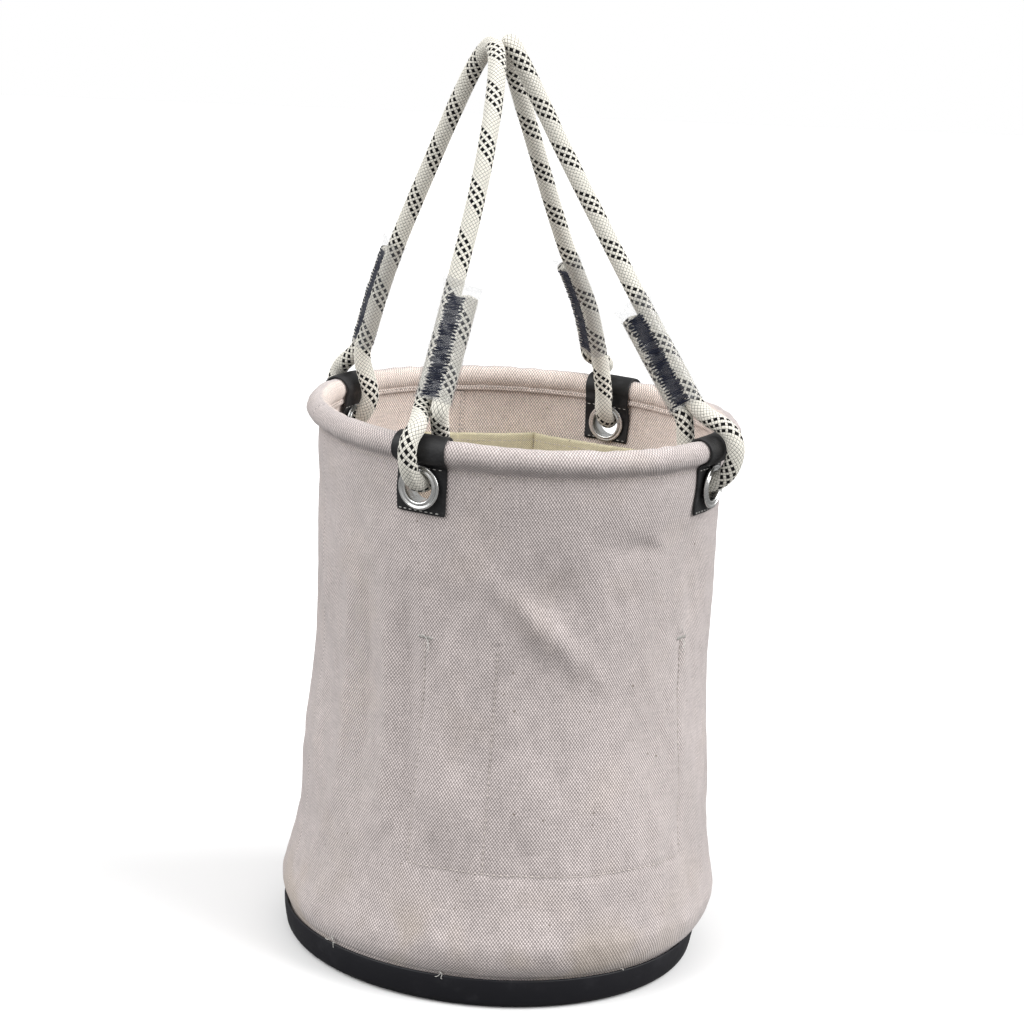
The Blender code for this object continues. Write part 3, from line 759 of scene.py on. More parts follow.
def sleeve_material():
    """Clear shrink tube, a little cloudy."""
    graph = Graph("sleeve_clear", Roughness=0.08, Specular_IOR_Level=1.0, Alpha=0.13, IOR=1.7)
    place = graph.place()
    cloud = graph.noise(place, 130.0, 3.0)
    tone = graph.mix(graph.range(cloud, 0.3, 0.7), (0.16, 0.17, 0.19), (0.30, 0.30, 0.31))
    rough = graph.range(cloud, 0.3, 0.7, 0.05, 0.14)
    return graph.finish(tone, graph.bump(cloud, 0.0005), rough)


def hoop_material():
    """Off-white plastic strip, slightly mottled."""
    graph = Graph("hoop_plastic", Roughness=0.6)
    mottle = graph.noise(graph.place(), 120.0, 3.0)
    tone = graph.mix(graph.range(mottle, 0.3, 0.7), (0.56, 0.54, 0.48), (0.66, 0.64, 0.58))
    return graph.finish(tone, graph.bump(mottle, 0.0002))


def make_materials():
    return {
        "canvas": canvas_material(),
        "lining": cloth_material("pocket_duck", LINING_COLOUR, 0.0009, 0.0012, 0.00018),
        "binding": cloth_material("binding_tape", BINDING_COLOUR, 0.0007, 0.0008, 0.00012, 0.6),
        "base": moulded_material(),
        "patch": leather_material(),
        "steel": steel_material(),
        "rope": rope_material(),
        "sleeve": sleeve_material(),
        "hoop": hoop_material(),
        "sewing": thread_material("thread_cotton", SEWING_COLOUR, 0.80),
        "white_thread": thread_material("thread_white", WHITE_THREAD, 0.70),
        "seizing": thread_material("thread_waxed", WAXED_THREAD, 0.55),
    }


# ---- canvas tube --------------------------------------------------------------------------
def surface_gap(angle, height, place):
    """Distance over the wall from an (angle in degrees, height) place."""
    turn = (angle - radians(place[0]) + pi) % tau - pi
    return turn * WALL_TOP_R, height - place[1]


def fold(angle, height, start, end, width):
    """A soft crease along a line between two (degrees, height) places."""
    across, up = surface_gap(angle, height, start)
    run = radians(end[0] - start[0]) * WALL_TOP_R
    rise = end[1] - start[1]
    share = np.clip((across * run + up * rise) / (run ** 2 + rise ** 2), 0, 1)
    distance = np.hypot(across - share * run, up - share * rise)
    ends = np.sin(np.clip(share, 0.04, 0.96) * pi) ** 0.5
    return bump_at(distance, width) * ends


def hollow(angle, height, place, width, rise):
    """A soft round dent about a (degrees, height) place."""
    across, up = surface_gap(angle, height, place)
    return bump_at(np.hypot(across / width, up / rise), 1.0)


def sag(angle, height):
    """The soft wall leans to one side over the base and draws in at its waist."""
    lean = np.interp(height, LEAN_HEIGHTS, LEAN_SHIFTS)
    waist = np.interp(height, WAIST_HEIGHTS, WAIST_DEPTHS)
    return lean * np.cos(angle - radians(LEAN_AZIMUTH)) - waist


def pocket_pucker(angle, height):
    """The wall gathers along the front pocket's lower stitches and dips at its upright ones."""
    pocket = POCKETS["front"]
    left, right = radians(pocket["lines"][0]), radians(pocket["lines"][-1])
    within = step_between(angle, left - 0.02, left + 0.05)
    within = within * (1 - step_between(angle, right - 0.05, right + 0.02))
    drop = height - pocket["bottom"]
    gathers = np.sin(58 * angle + 2.0 * np.sin(9 * angle)) * 0.00045 * bump_at(drop - 0.006, 0.011)
    pucker = within * (gathers - 0.0004 * bump_at(drop, 0.0030) + 0.0003 * bump_at(drop + 0.010, 0.008))
    beside = (height > pocket["bottom"]) & (height < pocket["top"])
    for line in pocket["lines"]:
        across, _ = surface_gap(angle, height, (line, 0.2))
        pucker = pucker - 0.0007 * bump_at(across, 0.0028) * beside
    return pucker


def canvas_offset(angle, height):
    """How far the cloth stands off its even outline, in metres."""
    free = step_between(height, 0.024, 0.050) * (1 - step_between(height, 0.318, 0.345))
    offset = 0.0
    for size, *ripple in RIPPLES:
        offset = offset + size * waves(angle, height, *ripple)
    for start, end, size, width in FOLDS:
        offset = offset + size * fold(angle, height, start, end, width)
    for middle, width, rise, depth in HOLLOWS:
        offset = offset - depth * hollow(angle, height, middle, width, rise)
    offset = (offset + pocket_pucker(angle, height)) * free + sag(angle, height)
    across, _ = surface_gap(angle, height, (SEAM_ANGLE, 0.2))
    lap = np.where(np.abs(across) < SEAM_HALF_WIDTH, 0.0006, 0.0) * (height < 0.372)
    return offset + lap * step_between(height, 0.024, 0.030)


def rim_line():
    """The canvas from inside the base up the wall, over the roll and down to the hem's end."""
    roll = arc((RIM_R, RIM_Z), RIM_ROLL_R - CANVAS_T / 2, -68, 232, 20)
    wall = catmull_rom(CANVAS_OUTLINE, 8)
    line = np.vstack([wall, [ROLL_FOOT], roll, HEM])
    return resample(line, int(lengths_along(line)[-1] / CLOTH_STEP))


def in_grommet(radius):
    """A test that is true for places within a radius of any grommet's axis."""
    def test(points):
        inside = np.zeros(points.shape[:-1], bool)
        for eye in EYES.values():
            outward = on_cylinder(1.0, radians(eye["azimuth"]), 0.0)
            away = points - np.array([0, 0, GROMMET_Z])
            off_axis = away - (away @ outward)[..., None] * outward
            inside |= (np.linalg.norm(off_axis, axis=-1) < radius) & (away @ outward > 0)
        return inside
    return test


def make_canvas(mats):
    """The tube: its wall hangs unevenly, and its roll wrinkles a little."""
    line = rim_line()
    angles = np.linspace(-pi, pi, CLOTH_COLUMNS, endpoint=False)[:, None]
    radius, height = line[None, :, 0], line[None, :, 1]
    wall = np.arange(len(line)) < np.argmax(line[:, 1] > 0.3745)
    points = on_cylinder(radius, angles, height)
    along = lengths_along(line)
    wrinkles = 0.00032 * waves(angles, along[None], 5, 24, (12, 70), (20, 160))
    shift = np.where(wall[None], canvas_offset(angles, height), wrinkles)
    points = points + grid_normals(points, True) * shift[..., None]
    u = np.linspace(-pi, pi, CLOTH_COLUMNS + 1) * WALL_R
    piece = slab("canvas_tube", points, CANVAS_T, mats["canvas"], u, along, True, in_grommet(0.0116))
    fix(piece, "root", "canvas", "canvas_body")


def wall_line(angle_from, angle_to, height, out):
    """A level line on the wall, out from its outside, with its normals."""
    count = max(4, int(abs(angle_to - angle_from) * 1.2))
    angles = np.radians(np.linspace(angle_from, angle_to, count))
    radius = canvas_radius(height) + CANVAS_T / 2 + canvas_offset(angles, np.full(count, height)) + out
    return on_cylinder(radius, angles, height), on_cylinder(1.0, angles, 0.0)


def upright_line(angle, low, high, out, inside=False):
    """An upright line on the wall, with its normals."""
    heights = np.linspace(low, high, max(4, int((high - low) / 0.004)))
    radii = canvas_radius(heights) + canvas_offset(np.full(len(heights), radians(angle)), heights)
    side = -1.0 if inside else 1.0
    line = on_cylinder(radii + side * (CANVAS_T / 2 + out), radians(angle), heights)
    return line, np.broadcast_to(on_cylinder(side, radians(angle), 0.0), line.shape)


def make_wall_stitching(mats):
    """Rows under the roll, along the front pocket and beside the body's seam."""
    threads = []
    for k, eye in enumerate(EYES.values()):
        start, end = eye["azimuth"] + 8.3, eye["azimuth"] + 81.7
        threads += stitch_row(*wall_line(start, end, RIM_ROW_Z, 0.00005), *RIM_STITCH, 30 + k)
        angles = np.radians(np.linspace(start, end, 80))
        hem = on_cylinder(HEM[1][0] - CANVAS_T / 2, angles, HEM_END_Z + 0.0026)
        threads += stitch_row(hem, on_cylinder(-1.0, angles, 0.0), *RIM_STITCH, 40 + k)
    for k, (pocket, top_inset) in enumerate(((POCKETS["front"], 0.002), (POCKETS["back"], 0.004))):
        lines, foot = pocket["lines"], pocket["bottom"]
        level = wall_line(lines[0], lines[-1], foot + 0.0015, 0.0)
        threads += stitch_row(*level, *WALL_STITCH, 50 + 40 * k)
        for j, angle in enumerate(lines):
            upright = upright_line(angle, foot + 0.0015 * (1 - k), pocket["top"] - top_inset, 0.0)
            threads += stitch_row(*upright, *WALL_STITCH, 60 + 20 * k + j)
    for k, side in enumerate((-1, 1)):
        upright = upright_line(SEAM_ANGLE + side * SEAM_ROW_TURN, 0.028, 0.368, 0.0)
        threads += stitch_row(*upright, *SEAM_STITCH, 70 + k)
    fix(thread_mesh("wall_stitching", threads, mats["sewing"]), "root", "canvas")


def bartack(angle, height, seed):
    """A short dense zigzag that locks a pocket's corner."""
    random = np.random.RandomState(seed)
    threads = []
    for k in range(11):
        turn = angle + (k - 5) * 0.42
        low, high = height - 0.0013, height + 0.0013 * random.uniform(0.7, 1.2)
        angles = np.radians([turn, turn + 0.1, turn + 0.2])
        heights = np.array([low, (low + high) / 2, high])
        radii = canvas_radius(heights) + canvas_offset(angles, heights) + CANVAS_T / 2
        radii = radii + np.array([-0.0001, 0.0004, -0.0001])
        threads.append((on_cylinder(radii, angles, heights), 0.00030))
    return threads


def loose_thread(angle, height, run, rise, curl, seed, standing=0.0022):
    """A thread end that lies on the wall and lifts off it."""
    random = np.random.RandomState(seed)
    share = np.linspace(0, 1, 14)
    angles = radians(angle) + (run * share + curl * np.sin(share * random.uniform(3, 6))) / WALL_TOP_R
    heights = height + rise * share + curl * np.cos(share * random.uniform(4, 7)) * share
    clipped = np.clip(heights, 0.024, 0.37)
    radii = canvas_radius(clipped) + canvas_offset(angles, clipped) + CANVAS_T / 2
    radii = radii + 0.0003 + standing * np.sin(share * pi * 0.75)
    return on_cylinder(radii, angles, heights), 0.00022


def make_loose_threads(mats):
    """Bartacks at the front pocket's upper corners, and the thread ends left hanging."""
    front = POCKETS["front"]
    threads = bartack(front["lines"][0], front["top"] - 0.001, 1)
    threads += bartack(front["lines"][-1], front["top"] - 0.004, 2)
    for seed, thread_end in enumerate(THREAD_ENDS):
        threads.append(loose_thread(*thread_end, seed))
    fix(thread_mesh("loose_threads", threads, mats["white_thread"]), "root", "canvas")


def make_seam(mats):
    """The lap of the body's seam inside, with its two rows of stitching."""
    heights = np.linspace(0.0082, HEM_END_Z - 0.0012, 190)
    across = np.linspace(-SEAM_HALF_WIDTH, SEAM_HALF_WIDTH, 19)
    angles = radians(SEAM_ANGLE) + across[:, None] / WALL_R
    base = canvas_radius(heights)[None] + canvas_offset(angles, heights[None])
    radii = base - CANVAS_T / 2 - 0.0010 - 0.00012 * waves(angles, heights[None], 9, 8, (1, 3), (60, 300))
    points = on_cylinder(radii, angles, heights[None])
    thickness = 0.0012 * edge_taper(*points.shape[:2], ends=False)
    piece = slab("seam_lap", points, thickness, mats["canvas"], across, heights)
    fix(piece, "root", "canvas", "seam_strip")
    threads = []
    for k, side in enumerate((-1, 1)):
        turn = SEAM_ANGLE + side * SEAM_ROW_TURN
        upright = upright_line(turn, 0.010, HEM_END_Z - 0.003, 0.0017, inside=True)
        threads += stitch_row(*upright, *SEAM_STITCH, 100 + k)
    fix(thread_mesh("seam_stitching", threads, mats["sewing"]), "root", "canvas")


# ---- base ---------------------------------------------------------------------------------
def make_base(mats):
    """Moulded cup with a rounded foot and a soft lip."""
    foot = arc((BASE_FOOT_R, 0.0080), 0.0080, -90, -15, 14)
    lip = arc((BASE_R - 0.0011, BASE_HEIGHT - 0.0011), 0.0011, 0, 180, 10)
    section = [(0.002, 0.0)] + [(r, 0.0) for r in np.linspace(0.02, BASE_FOOT_R - 0.004, 9)] + foot
    section += [(BASE_R - 0.0014, 0.0100), (BASE_R - 0.0004, 0.0160)] + lip
    section += [(0.1470, 0.0150), (0.1462, 0.0060)]
    section += [(r, BASE_FLOOR_T) for r in (0.1450, 0.08, 0.002)]
    piece = turned("moulded_base", section, mats["base"], 288)
    fix(piece, "root", "base", "base_cup")


def make_liner(mats):
    """The cloth disc on the bucket's floor, a little uneven."""
    rings = np.linspace(0.0015, LINER_R, 76)
    angles = np.arange(180) * tau / 180
    lift = 0.0003 * waves(angles[:, None], rings[None] * 6, 12, 18, (1, 9), (3, 14))
    middle = LINER_MIDDLE_Z + lift * step_between(LINER_R - rings, 0.0, 0.01)[None]
    points = on_cylinder(rings[None], angles[:, None], middle)[:, ::-1]
    u = np.arange(181) * tau / 180 * 0.09
    piece = slab("bottom_cloth", points, LINER_T, mats["lining"], u, rings, True)
    fix(piece, "root", "canvas", "bottom_liner")


# ---- patches and eyelets ------------------------------------------------------------------
def patch_line():
    """A patch's mid line from its lower edge outside, over the roll, to its edge inside."""
    off = 0.0003 + PATCH_T / 2
    outside = [(canvas_radius(z) + CANVAS_T / 2 + off, z) for z in (PATCH_OUTER_Z, 0.3480, 0.3560, 0.3700)]
    outside += [(0.1452, 0.3733)]
    over = arc((RIM_R, RIM_Z), RIM_ROLL_R + off, -60, 204, 18)
    inside = [(0.1364, 0.3745), (0.1380, 0.3700)]
    inside += [(canvas_radius(z) - CANVAS_T / 2 - off, z) for z in (0.3600, PATCH_INNER_Z)]
    return smooth_line(outside + over + inside, 0.0009, 4)


def make_patch(name, mats):
    """A leather strip over the rim, its corners eased, sewn along both ends."""
    azimuth = radians(EYES[name]["azimuth"])
    seed = EYES[name]["azimuth"]
    line = patch_line()
    across = PATCH_HALF_WIDTH * np.sin(np.linspace(-1, 1, 45) * pi / 2 * 0.90) / sin(pi / 2 * 0.90)
    along = lengths_along(line)
    share = np.minimum(along, along[-1] - along) / 0.0040
    corner = np.where(share < 1, 1 - 0.045 * (1 - np.clip(share, 0, 1)) ** 2, 1.0)
    rumple = 1 + 0.012 * np.sin(along[None] * 260 + seed) * np.abs(across[:, None] / PATCH_HALF_WIDTH) ** 3
    angles = azimuth + across[:, None] * corner[None] * rumple / RIM_R
    wobble = 0.00016 * waves(angles, along[None], 200 + seed, 14, (9, 60), (60, 300))
    points = on_cylinder(line[None, :, 0], angles, line[None, :, 1])
    points = points + grid_normals(points, False) * wobble[..., None]
    thickness = PATCH_T * edge_taper(*points.shape[:2])
    piece = slab("patch_leather_" + name, points, thickness, mats["patch"], across, along,
                 holes=in_grommet(0.0112))
    fix(piece, "root", "patch", "patch_" + name)
    normals = grid_normals(points, False)
    threads = []
    rows = ((0.0022, 0.0024), (0.0320, 0.0026), (along[-1] - 0.0022, 0.0024), (along[-1] - 0.0270, 0.0026))
    for k, (distance, length) in enumerate(rows):
        column = int(np.argmin(np.abs(along - distance)))
        inset = slice(3, -3)
        line_points = points[inset, column] + normals[inset, column] * PATCH_T / 2
        threads += stitch_row(line_points, normals[inset, column], length, 0.0016, 0.00028, 300 + k + seed)
    fix(thread_mesh("patch_stitching_" + name, threads, mats["white_thread"]), "root", "patch")


def face_outward(piece, azimuth):
    """Turns a piece's own +Z to point outward at a grommet, and seats it there."""
    turn = Matrix.Rotation(radians(azimuth), 4, "Z") @ Matrix.Rotation(pi / 2, 4, "Y")
    seat = Matrix.Translation(Vector(on_cylinder(GROMMET_BACK_R, radians(azimuth), GROMMET_Z)))
    piece.data.transform(seat @ turn)


def make_eyelet(name, mats):
    """A plated eyelet: a rolled outer bead, a groove, an inner bead and the barrel."""
    azimuth = EYES[name]["azimuth"]
    flange, hole, crown = GROMMET_FLANGE_R, GROMMET_HOLE_R, GROMMET_FLANGE_T
    tail = WASHER_SEAT_R - WASHER_T - 0.0006 - GROMMET_BACK_R
    bead_r = 0.00105
    outer = arc((flange - bead_r, crown - bead_r - 0.0002), bead_r, -60, 150, 12)
    groove = [(flange - 0.0024, crown * 0.62), (flange - 0.0031, crown * 0.60)]
    inner = arc((hole + 0.0013, crown - 0.0013), 0.0013, 60, 180, 10)
    curl = arc((hole + 0.0010, tail + 0.0006), 0.0010, 180, 330, 8)
    section = [(hole + 0.0007, 0.0), (flange - 0.0008, 0.0)] + outer + groove + inner
    section += [(hole, 0.0), (hole, tail / 2), (hole, tail + 0.0006)] + curl
    section += [(hole + 0.0007, tail + 0.0010)]
    piece = turned("eyelet_" + name, section, mats["steel"], 96)
    face_outward(piece, azimuth)
    fix(piece, "root", "grommet", "grommet_" + name)
    start = WASHER_SEAT_R - GROMMET_BACK_R
    inner_r = hole + 0.0010
    ring = arc((WASHER_R - 0.0006, start - 0.0006), 0.0006, 90, -90, 8)
    dish = [(inner_r + 0.0016, start - WASHER_T), (inner_r + 0.0006, start - WASHER_T * 0.7)]
    section = [(inner_r, start)] + ring + dish + [(inner_r, start - WASHER_T)]
    washer = turned("eyelet_washer_" + name, section, mats["steel"], 96)
    face_outward(washer, azimuth)
    fix(washer, "root", "grommet", "washer_" + name)


# ---- rope handles ---------------------------------------------------------------------------
def eye_axes(eye):
    angle = radians(eye["azimuth"])
    return on_cylinder(1.0, angle, 0.0), on_cylinder(1.0, angle + pi / 2, 0.0)


def run_offset(eye):
    """From the pair's middle to the span's run, at the throat."""
    return on_cylinder(ROPE_PITCH / 2, radians(eye["span_side"]), 0.0)


def leg_of(eye_name):
    """The span's path, ordered so that it starts at this eye's throat."""
    path = catmull_rom(SPAN_ROUTES[EYES[eye_name]["handle"]], 12)
    outward, _ = eye_axes(EYES[eye_name])
    return path if path[0] @ outward > path[-1] @ outward else path[::-1]


def leg_frames(eye_name, distances):
    """Points, directions and unit vectors from the tail to the span, along a leg."""
    path = leg_of(eye_name)
    along = lengths_along(path)
    points = point_at(distances, along, path)
    ahead = point_at(distances + 0.001, along, path)
    direction = unit(ahead - points)
    across = run_offset(EYES[eye_name])
    across = unit(across - direction * (direction @ across)[:, None])
    return points, direction, across


def eye_knots(eye_name):
    """The rope's knots through an eye, from the span's end at the throat to the tail's end."""
    eye = EYES[eye_name]
    outward, around = eye_axes(eye)
    point, direction, across = (a[0] for a in leg_frames(eye_name, np.array([0.0])))
    span_end = point - direction * EYE_DROP
    tail_end = span_end - across * ROPE_PITCH
    outer_first = eye["outer"] == "span"
    offset = run_offset(eye) @ around * (1 if outer_first else -1)
    lower = RIM_Z - EYE_HOLE_Z
    loop = []
    for angle in (60, 30, 0, -30, -60, -90, -120, -150, 180):
        a = radians(angle)
        depth = max(0.0, -sin(a))
        radius = EYE_LOOP_R + EYE_CLEARANCE * cos(a) - (EYE_LOOP_R - WALL_TOP_R) * depth
        height = RIM_Z + (lower if sin(a) < 0 else EYE_CLEARANCE) * sin(a)
        leaning = eye["lean"] * max(0.0, cos(a)) * (0.5 + 0.5 * sin(a)) ** 0.5
        side = offset * cos(a) * EYE_TWIST + leaning
        loop.append(outward * radius + around * side + np.array([0, 0, height]))
    return [span_end] + (loop if outer_first else loop[::-1]) + [tail_end]


def rope_path(handle):
    """One rope: cut end, eye, over the top, the other eye and the other cut end."""
    first, last = [name for name, eye in EYES.items() if eye["handle"] == handle]
    span = catmull_rom(SPAN_ROUTES[handle], 12)
    if np.linalg.norm(span[0] - leg_of(first)[0]) > 1e-6:
        first, last = last, first
    tails = {}
    for name in (first, last):
        points, _, across = leg_frames(name, np.linspace(TAIL_START, TAIL_END, 6))
        tails[name] = points - across * ROPE_PITCH
    knots = np.vstack([tails[first][::-1], eye_knots(first)[::-1], span[6:-6:6],
                       eye_knots(last), tails[last]])
    path = catmull_rom(knots, 10)
    path = resample(path, int(lengths_along(path)[-1] / ROPE_STEP))
    reach = int(ROPE_EASE / ROPE_STEP)
    kernel = np.hanning(2 * reach + 1)
    kernel /= kernel.sum()
    padded = np.vstack([path[:1] - (path[1] - path[0]) * np.arange(reach, 0, -1)[:, None], path,
                        path[-1:] + (path[-1] - path[-2]) * np.arange(1, reach + 1)[:, None]])
    smooth = np.stack([np.convolve(padded[:, k], kernel, "valid") for k in range(3)], 1)
    return resample(smooth, int(lengths_along(smooth)[-1] / ROPE_STEP))


def braid_height(turn, along):
    """Radial height of the braid, from -1 to 1, over turn (0 to 1) and length along."""
    advance = along * BRAID_CARRIERS / BRAID_PITCH
    with_turn = advance + turn * BRAID_CARRIERS
    against = advance - turn * BRAID_CARRIERS
    on_top = (np.floor(with_turn) + np.floor(against)) % 2 < 0.5
    across = np.where(on_top, with_turn % 1, against % 1)
    lengthwise = np.where(on_top, against % 1, with_turn % 1)
    crown = np.sin(across * pi) ** 0.5 * (0.30 + 0.70 * np.sin(lengthwise * pi) ** 0.6)
    yarns = 0.75 + 0.25 * np.abs(np.sin(across * 2 * pi))
    return 2 * crown * yarns - 1


def make_rope(handle, mats):
    """A braided rope with eased cut ends, bending where its legs leave their eyes."""
    path = rope_path(handle)
    along = lengths_along(path)
    turn = np.arange(ROPE_COLUMNS) / ROPE_COLUMNS
    radii = ROPE_R - BRAID_RELIEF + BRAID_RELIEF * braid_height(turn[None], along[:, None])
    ends = np.minimum(along, along[-1] - along)
    radii = radii * (1 - 0.75 * np.clip(1 - ends / 0.0022, 0, 1) ** 2)[:, None]
    points = tube_rings(path, radii, ROPE_COLUMNS)
    faces = ring_faces(len(path), ROPE_COLUMNS)
    uvs = np.zeros((len(faces), 4, 2))
    body = (len(path) - 1) * ROPE_COLUMNS
    i, k = np.meshgrid(np.arange(len(path) - 1), np.arange(ROPE_COLUMNS), indexing="ij")
    corners = [(k, i), (k + 1, i), (k + 1, i + 1), (k, i + 1)]
    braid = [np.stack([a / ROPE_COLUMNS, along[b]], -1) for a, b in corners]
    uvs[:body] = np.stack(braid, 2).reshape(-1, 4, 2)
    piece = mesh_object("handle_rope_" + handle, points.reshape(-1, 3), faces, mats["rope"], uvs)
    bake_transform(piece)
    nodes = ["rope_span_" + handle]
    for name, eye in EYES.items():
        if eye["handle"] == handle:
            nodes += ["rope_eye_" + name, "rope_tail_" + name]
    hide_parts(*nodes)


def make_sleeve(name, mats):
    """Shrink tube round both runs: it sinks between them and flares at its top end."""
    body = "handle_" + EYES[name]["handle"]
    count, sides = 110, 72
    distances = np.linspace(SLEEVE_START, SLEEVE_END, count)
    points, direction, across = leg_frames(name, distances)
    centre = points - across * ROPE_PITCH / 2
    normal = np.cross(direction, across)
    angles = np.arange(sides) * tau / sides
    share = (distances - SLEEVE_START) / (SLEEVE_END - SLEEVE_START)
    flare = 0.0016 * step_between(share, 0.90, 1.0) + 0.0005 * (1 - step_between(share, 0.0, 0.05))
    seed = 400 + EYES[name]["azimuth"]
    crumple = 0.00026 * waves(angles[None], share[:, None], seed, 20, (3, 16), (10, 90))
    radius = ROPE_R + 0.0007 + flare[:, None] + crumple
    straight = ROPE_PITCH / 2 * np.tanh(np.cos(angles) * 3.0)
    waist = 0.0013 * bump_at(straight, 0.0040)
    x = straight[None] + radius * np.cos(angles)[None]
    y = (radius - waist[None]) * np.sin(angles)[None]
    ragged = 0.0016 * waves(angles, 0.0, seed + 10, 9, (1, 8), (1, 2))
    lengthwise = ragged[None] * step_between(share, 0.9, 1.0)[:, None]
    ring = (centre[:, None] + across[:, None] * x[..., None] + normal[:, None] * y[..., None]
            + direction[:, None] * lengthwise[..., None])
    grid = ring.transpose(1, 0, 2)[::-1]
    u = np.arange(sides + 1) / sides
    piece = slab("shrink_sleeve_" + name, grid, SLEEVE_T, mats["sleeve"], u, distances, True)
    fix(piece, body, "sleeve", "sleeve_" + name)


def make_seizing(name, face, mats):
    """Waxed thread sewn over and over through both runs, filling the valley on one face."""
    random = np.random.RandomState(500 + EYES[name]["azimuth"] + (7 if face == "b" else 0))
    side = 1.0 if face == "a" else -1.0
    body = "handle_" + EYES[name]["handle"]
    threads = []
    for k in range(SEIZING_TURNS):
        layer = k % 2
        middle = SEIZING_START + (SEIZING_END - SEIZING_START) * (k + 0.5) / SEIZING_TURNS
        slant = (0.0007 if layer else -0.0005) + random.uniform(-0.0003, 0.0003)
        reach = SEIZING_REACH[k % 4 // 2]
        left = reach + random.uniform(-0.0006, 0.0014)
        right = reach + random.uniform(-0.0010, 0.0008)
        share = np.linspace(-1, 1, 9)
        x = np.where(share < 0, share * left, share * right)
        distance = np.clip(middle + slant * share, SLEEVE_START, TAIL_END)
        points, direction, across = leg_frames(name, distance)
        centre = points - across * ROPE_PITCH / 2
        normal = np.cross(direction, across) * side
        height = 0.0054 + 0.0012 * (np.abs(x) / 0.0064) ** 2 - 0.00035 * layer
        height = height + random.uniform(-0.0001, 0.0002)
        height[[0, -1]] -= 0.0007
        path = centre + across * x[:, None] + normal * height[:, None]
        threads.append((path, SEIZING_THREAD_R))
    piece = thread_mesh("seizing_threads_" + name + "_" + face, threads, mats["seizing"])
    fix(piece, body, "thread", "seizing_" + name + "_" + face)


# ---- pockets ----------------------------------------------------------------------------------
def pocket_surface(pocket, angles, heights):
    """Mid radius of a panel: near the wall on its stitch lines, full at its mouths."""
    lines = pocket["lines"]
    degrees = np.degrees(angles)
    fullness = np.zeros_like(degrees)
    for start, end in zip(lines, lines[1:]):
        share = np.clip((degrees - start) / (end - start), 0, 1)
        fullness = np.maximum(fullness, np.sin(pi * share) ** 0.5)
    rise = np.clip((heights - pocket["bottom"]) / (pocket["top"] - pocket["bottom"]), 0, 1) ** 0.6
    gap = POCKET_EDGE_GAP + (POCKET_MOUTH_GAP - POCKET_EDGE_GAP) * fullness * rise
    return canvas_radius(heights) + sag(angles, heights) - CANVAS_T / 2 - gap - POCKET_T / 2


def make_pocket(name, mats):
    """A panel sewn to the wall, its top edge bound with tape."""
    pocket = POCKETS[name]
    start, end = radians(pocket["lines"][0]), radians(pocket["lines"][-1])
    columns = int((end - start) * PANEL_R / 0.0016)
    angles = np.linspace(start, end, columns)
    heights = np.linspace(pocket["bottom"], pocket["top"], 110)
    slack = step_between(heights, pocket["bottom"], pocket["bottom"] + 0.03)[None]
    uneven = 0.00055 * waves(angles[:, None], heights[None], 600 + columns, 20, (5, 22), (10, 60)) * slack
    radii = pocket_surface(pocket, angles[:, None], heights[None]) + uneven
    points = on_cylinder(radii, angles[:, None], heights[None])
    width = (angles - start) * PANEL_R
    thickness = POCKET_T * edge_taper(*points.shape[:2])
    panel = slab("pocket_panel_" + name, points, thickness, mats["lining"], width, heights)
    fix(panel, "root", "canvas", "pocket_" + name)
    normals = -grid_normals(points, False)
    top = len(heights) - 1
    low = int(np.argmin(np.abs(heights - (pocket["top"] - TAPE_HEIGHT))))
    cover = POCKET_T / 2 + 0.0004 + TAPE_T / 2
    turn = [(cos(a), sin(a)) for a in np.linspace(0, pi, 9)[1:-1]]
    columns_of = [points[:, j] - normals[:, j] * cover for j in range(low, top + 1)]
    up = np.array([0, 0, 1.0])
    columns_of += [points[:, top] - normals[:, top] * cover * c + up * cover * s for c, s in turn]
    columns_of += [points[:, j] + normals[:, j] * cover for j in range(top, low - 1, -1)]
    grid = np.stack(columns_of, 1)
    down = lengths_along(grid[0])
    rough = 0.00014 * waves(angles[:, None], down[None], 620 + columns, 16, (30, 120), (60, 300))
    grid = grid + grid_normals(grid, False) * rough[..., None]
    taper = TAPE_T * edge_taper(*grid.shape[:2])
    tape = slab("pocket_binding_" + name, grid, taper, mats["binding"], width, lengths_along(grid[0]))
    fix(tape, "root", "binding", "pocket_tape_" + name)
    threads = []
    face = points + normals * (cover + TAPE_T / 2)
    for k, drop in enumerate((0.0030, TAPE_HEIGHT - 0.0030)):
        j = int(np.argmin(np.abs(heights - (pocket["top"] - drop))))
        threads += stitch_row(face[:, j], normals[:, j], *BINDING_STITCH, 640 + k)
    for k, line in enumerate(pocket["lines"]):
        for side in (-1, 1):
            column = int(np.clip(np.argmin(np.abs(angles - radians(line))) + side, 2, columns - 3))
            raised = np.where(np.arange(len(heights)) >= low, cover + TAPE_T / 2, POCKET_T / 2)
            upright = points[column] + normals[column] * raised[:, None]
            threads += stitch_row(upright, normals[column], *BINDING_STITCH, 660 + 2 * k + side)
    level = points[:, 2] + normals[:, 2] * POCKET_T / 2
    threads += stitch_row(level, normals[:, 2], *BINDING_STITCH, 690)
    fix(thread_mesh("pocket_stitching_" + name, threads, mats["sewing"]), "root", "binding")


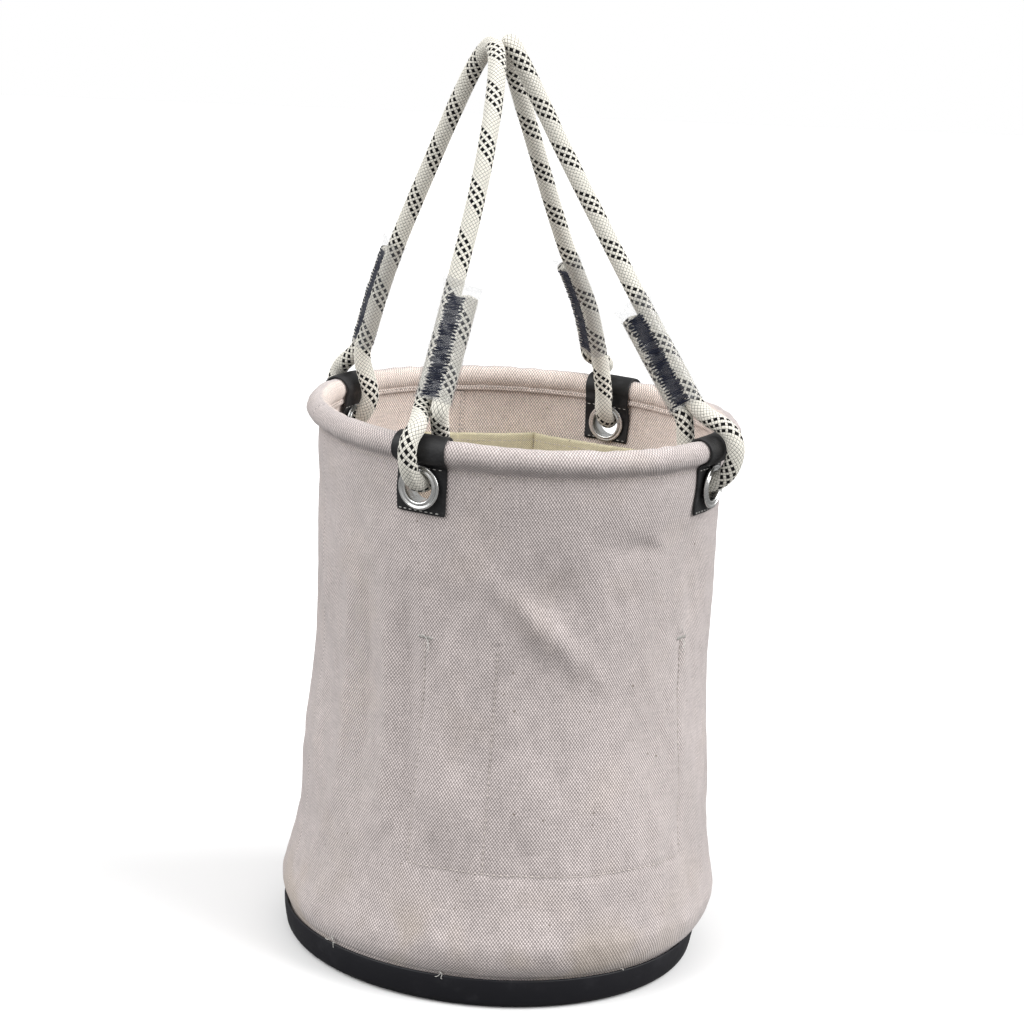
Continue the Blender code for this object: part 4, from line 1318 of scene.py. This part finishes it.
# ---- camera, floor and light --------------------------------------------------------------------
def make_camera():
    """A long lens a little above the rim, looking slightly down."""
    azimuth = radians(CAMERA_AZIMUTH)
    ahead = Vector((sin(azimuth), cos(azimuth), 0))
    side = Vector((cos(azimuth), -sin(azimuth), 0))
    level = ahead * cos(CAMERA_YAW) + side * sin(CAMERA_YAW)
    forward = level * cos(CAMERA_PITCH) - Vector((0, 0, sin(CAMERA_PITCH)))
    level_right = forward.cross(Vector((0, 0, 1))).normalized()
    right = level_right * cos(CAMERA_ROLL) + level_right.cross(forward) * sin(CAMERA_ROLL)
    up = right.cross(forward)
    camera = bpy.data.objects.new("camera", bpy.data.cameras.new("camera"))
    bpy.context.scene.collection.objects.link(camera)
    camera.data.lens = CAMERA_LENS
    camera.data.sensor_width = SENSOR
    place = Matrix.Translation(-ahead * CAMERA_DISTANCE + Vector((0, 0, CAMERA_HEIGHT)))
    camera.matrix_world = place @ Matrix((right, up, -forward)).transposed().to_4x4()
    bpy.context.scene.camera = camera


def make_floor():
    """A pale paper floor that throws little light back up at the bucket."""
    half = FLOOR_HALF
    mesh = bpy.data.meshes.new("floor")
    corners = [(-half, -half, 0), (half, -half, 0), (half, half, 0), (-half, half, 0)]
    mesh.from_pydata(corners, [], [(0, 1, 2, 3)])
    floor = bpy.data.objects.new("floor", mesh)
    bpy.context.scene.collection.objects.link(floor)
    graph = Graph("floor_paper", Roughness=0.9, Specular_IOR_Level=0.1)
    mottle = graph.noise(graph.place(), 3.0, 2.0)
    paper = graph.mix(mottle, *FLOOR_SEEN)
    seen = graph.node("ShaderNodeLightPath").outputs["Is Camera Ray"]
    mesh.materials.append(graph.finish(graph.mix(seen, FLOOR_BOUNCE, paper)))


def soft_light(name, azimuth, elevation, spread, strength):
    """A wide even light from a direction, like a large softbox far away."""
    light = bpy.data.lights.new(name, "SUN")
    light.angle = radians(spread)
    light.energy = strength
    obj = bpy.data.objects.new(name, light)
    bpy.context.scene.collection.objects.link(obj)
    a, e = radians(azimuth), radians(elevation)
    away = Vector((sin(a) * cos(e), -cos(a) * cos(e), sin(e)))
    obj.location = away * 3.0
    obj.rotation_euler = away.to_track_quat("Z", "Y").to_euler()


def make_light():
    """An even white surround, dimmer as light than it looks, and three softboxes."""
    world = bpy.data.worlds.new("studio")
    bpy.context.scene.world = world
    world.use_nodes = True
    tree = world.node_tree
    background = tree.nodes["Background"]
    background.inputs["Color"].default_value = (1.0, 1.0, 1.0, 1.0)
    seen = tree.nodes.new("ShaderNodeLightPath").outputs["Is Camera Ray"]
    strength = tree.nodes.new("ShaderNodeMapRange")
    strength.inputs["To Min"].default_value = WORLD_LIGHT
    strength.inputs["To Max"].default_value = WORLD_SEEN
    tree.links.new(seen, strength.inputs["Value"])
    tree.links.new(strength.outputs[0], background.inputs["Strength"])
    for name, light in SOFT_LIGHTS.items():
        soft_light(name, *light)
    bpy.context.scene.view_settings.view_transform = "Standard"


def main():
    make_camera()
    make_floor()
    make_light()
    mats = make_materials()
    for handle in SPAN_ROUTES:
        make_rope(handle, mats)
    make_canvas(mats)
    make_wall_stitching(mats)
    make_loose_threads(mats)
    make_seam(mats)
    make_base(mats)
    make_liner(mats)
    for name in EYES:
        make_patch(name, mats)
        make_eyelet(name, mats)
        make_sleeve(name, mats)
        for face in ("a", "b"):
            make_seizing(name, face, mats)
    for name in POCKETS:
        make_pocket(name, mats)
    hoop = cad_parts["rim_hoop"]
    hoop.data.materials.clear()
    hoop.data.materials.append(mats["hoop"])


main()
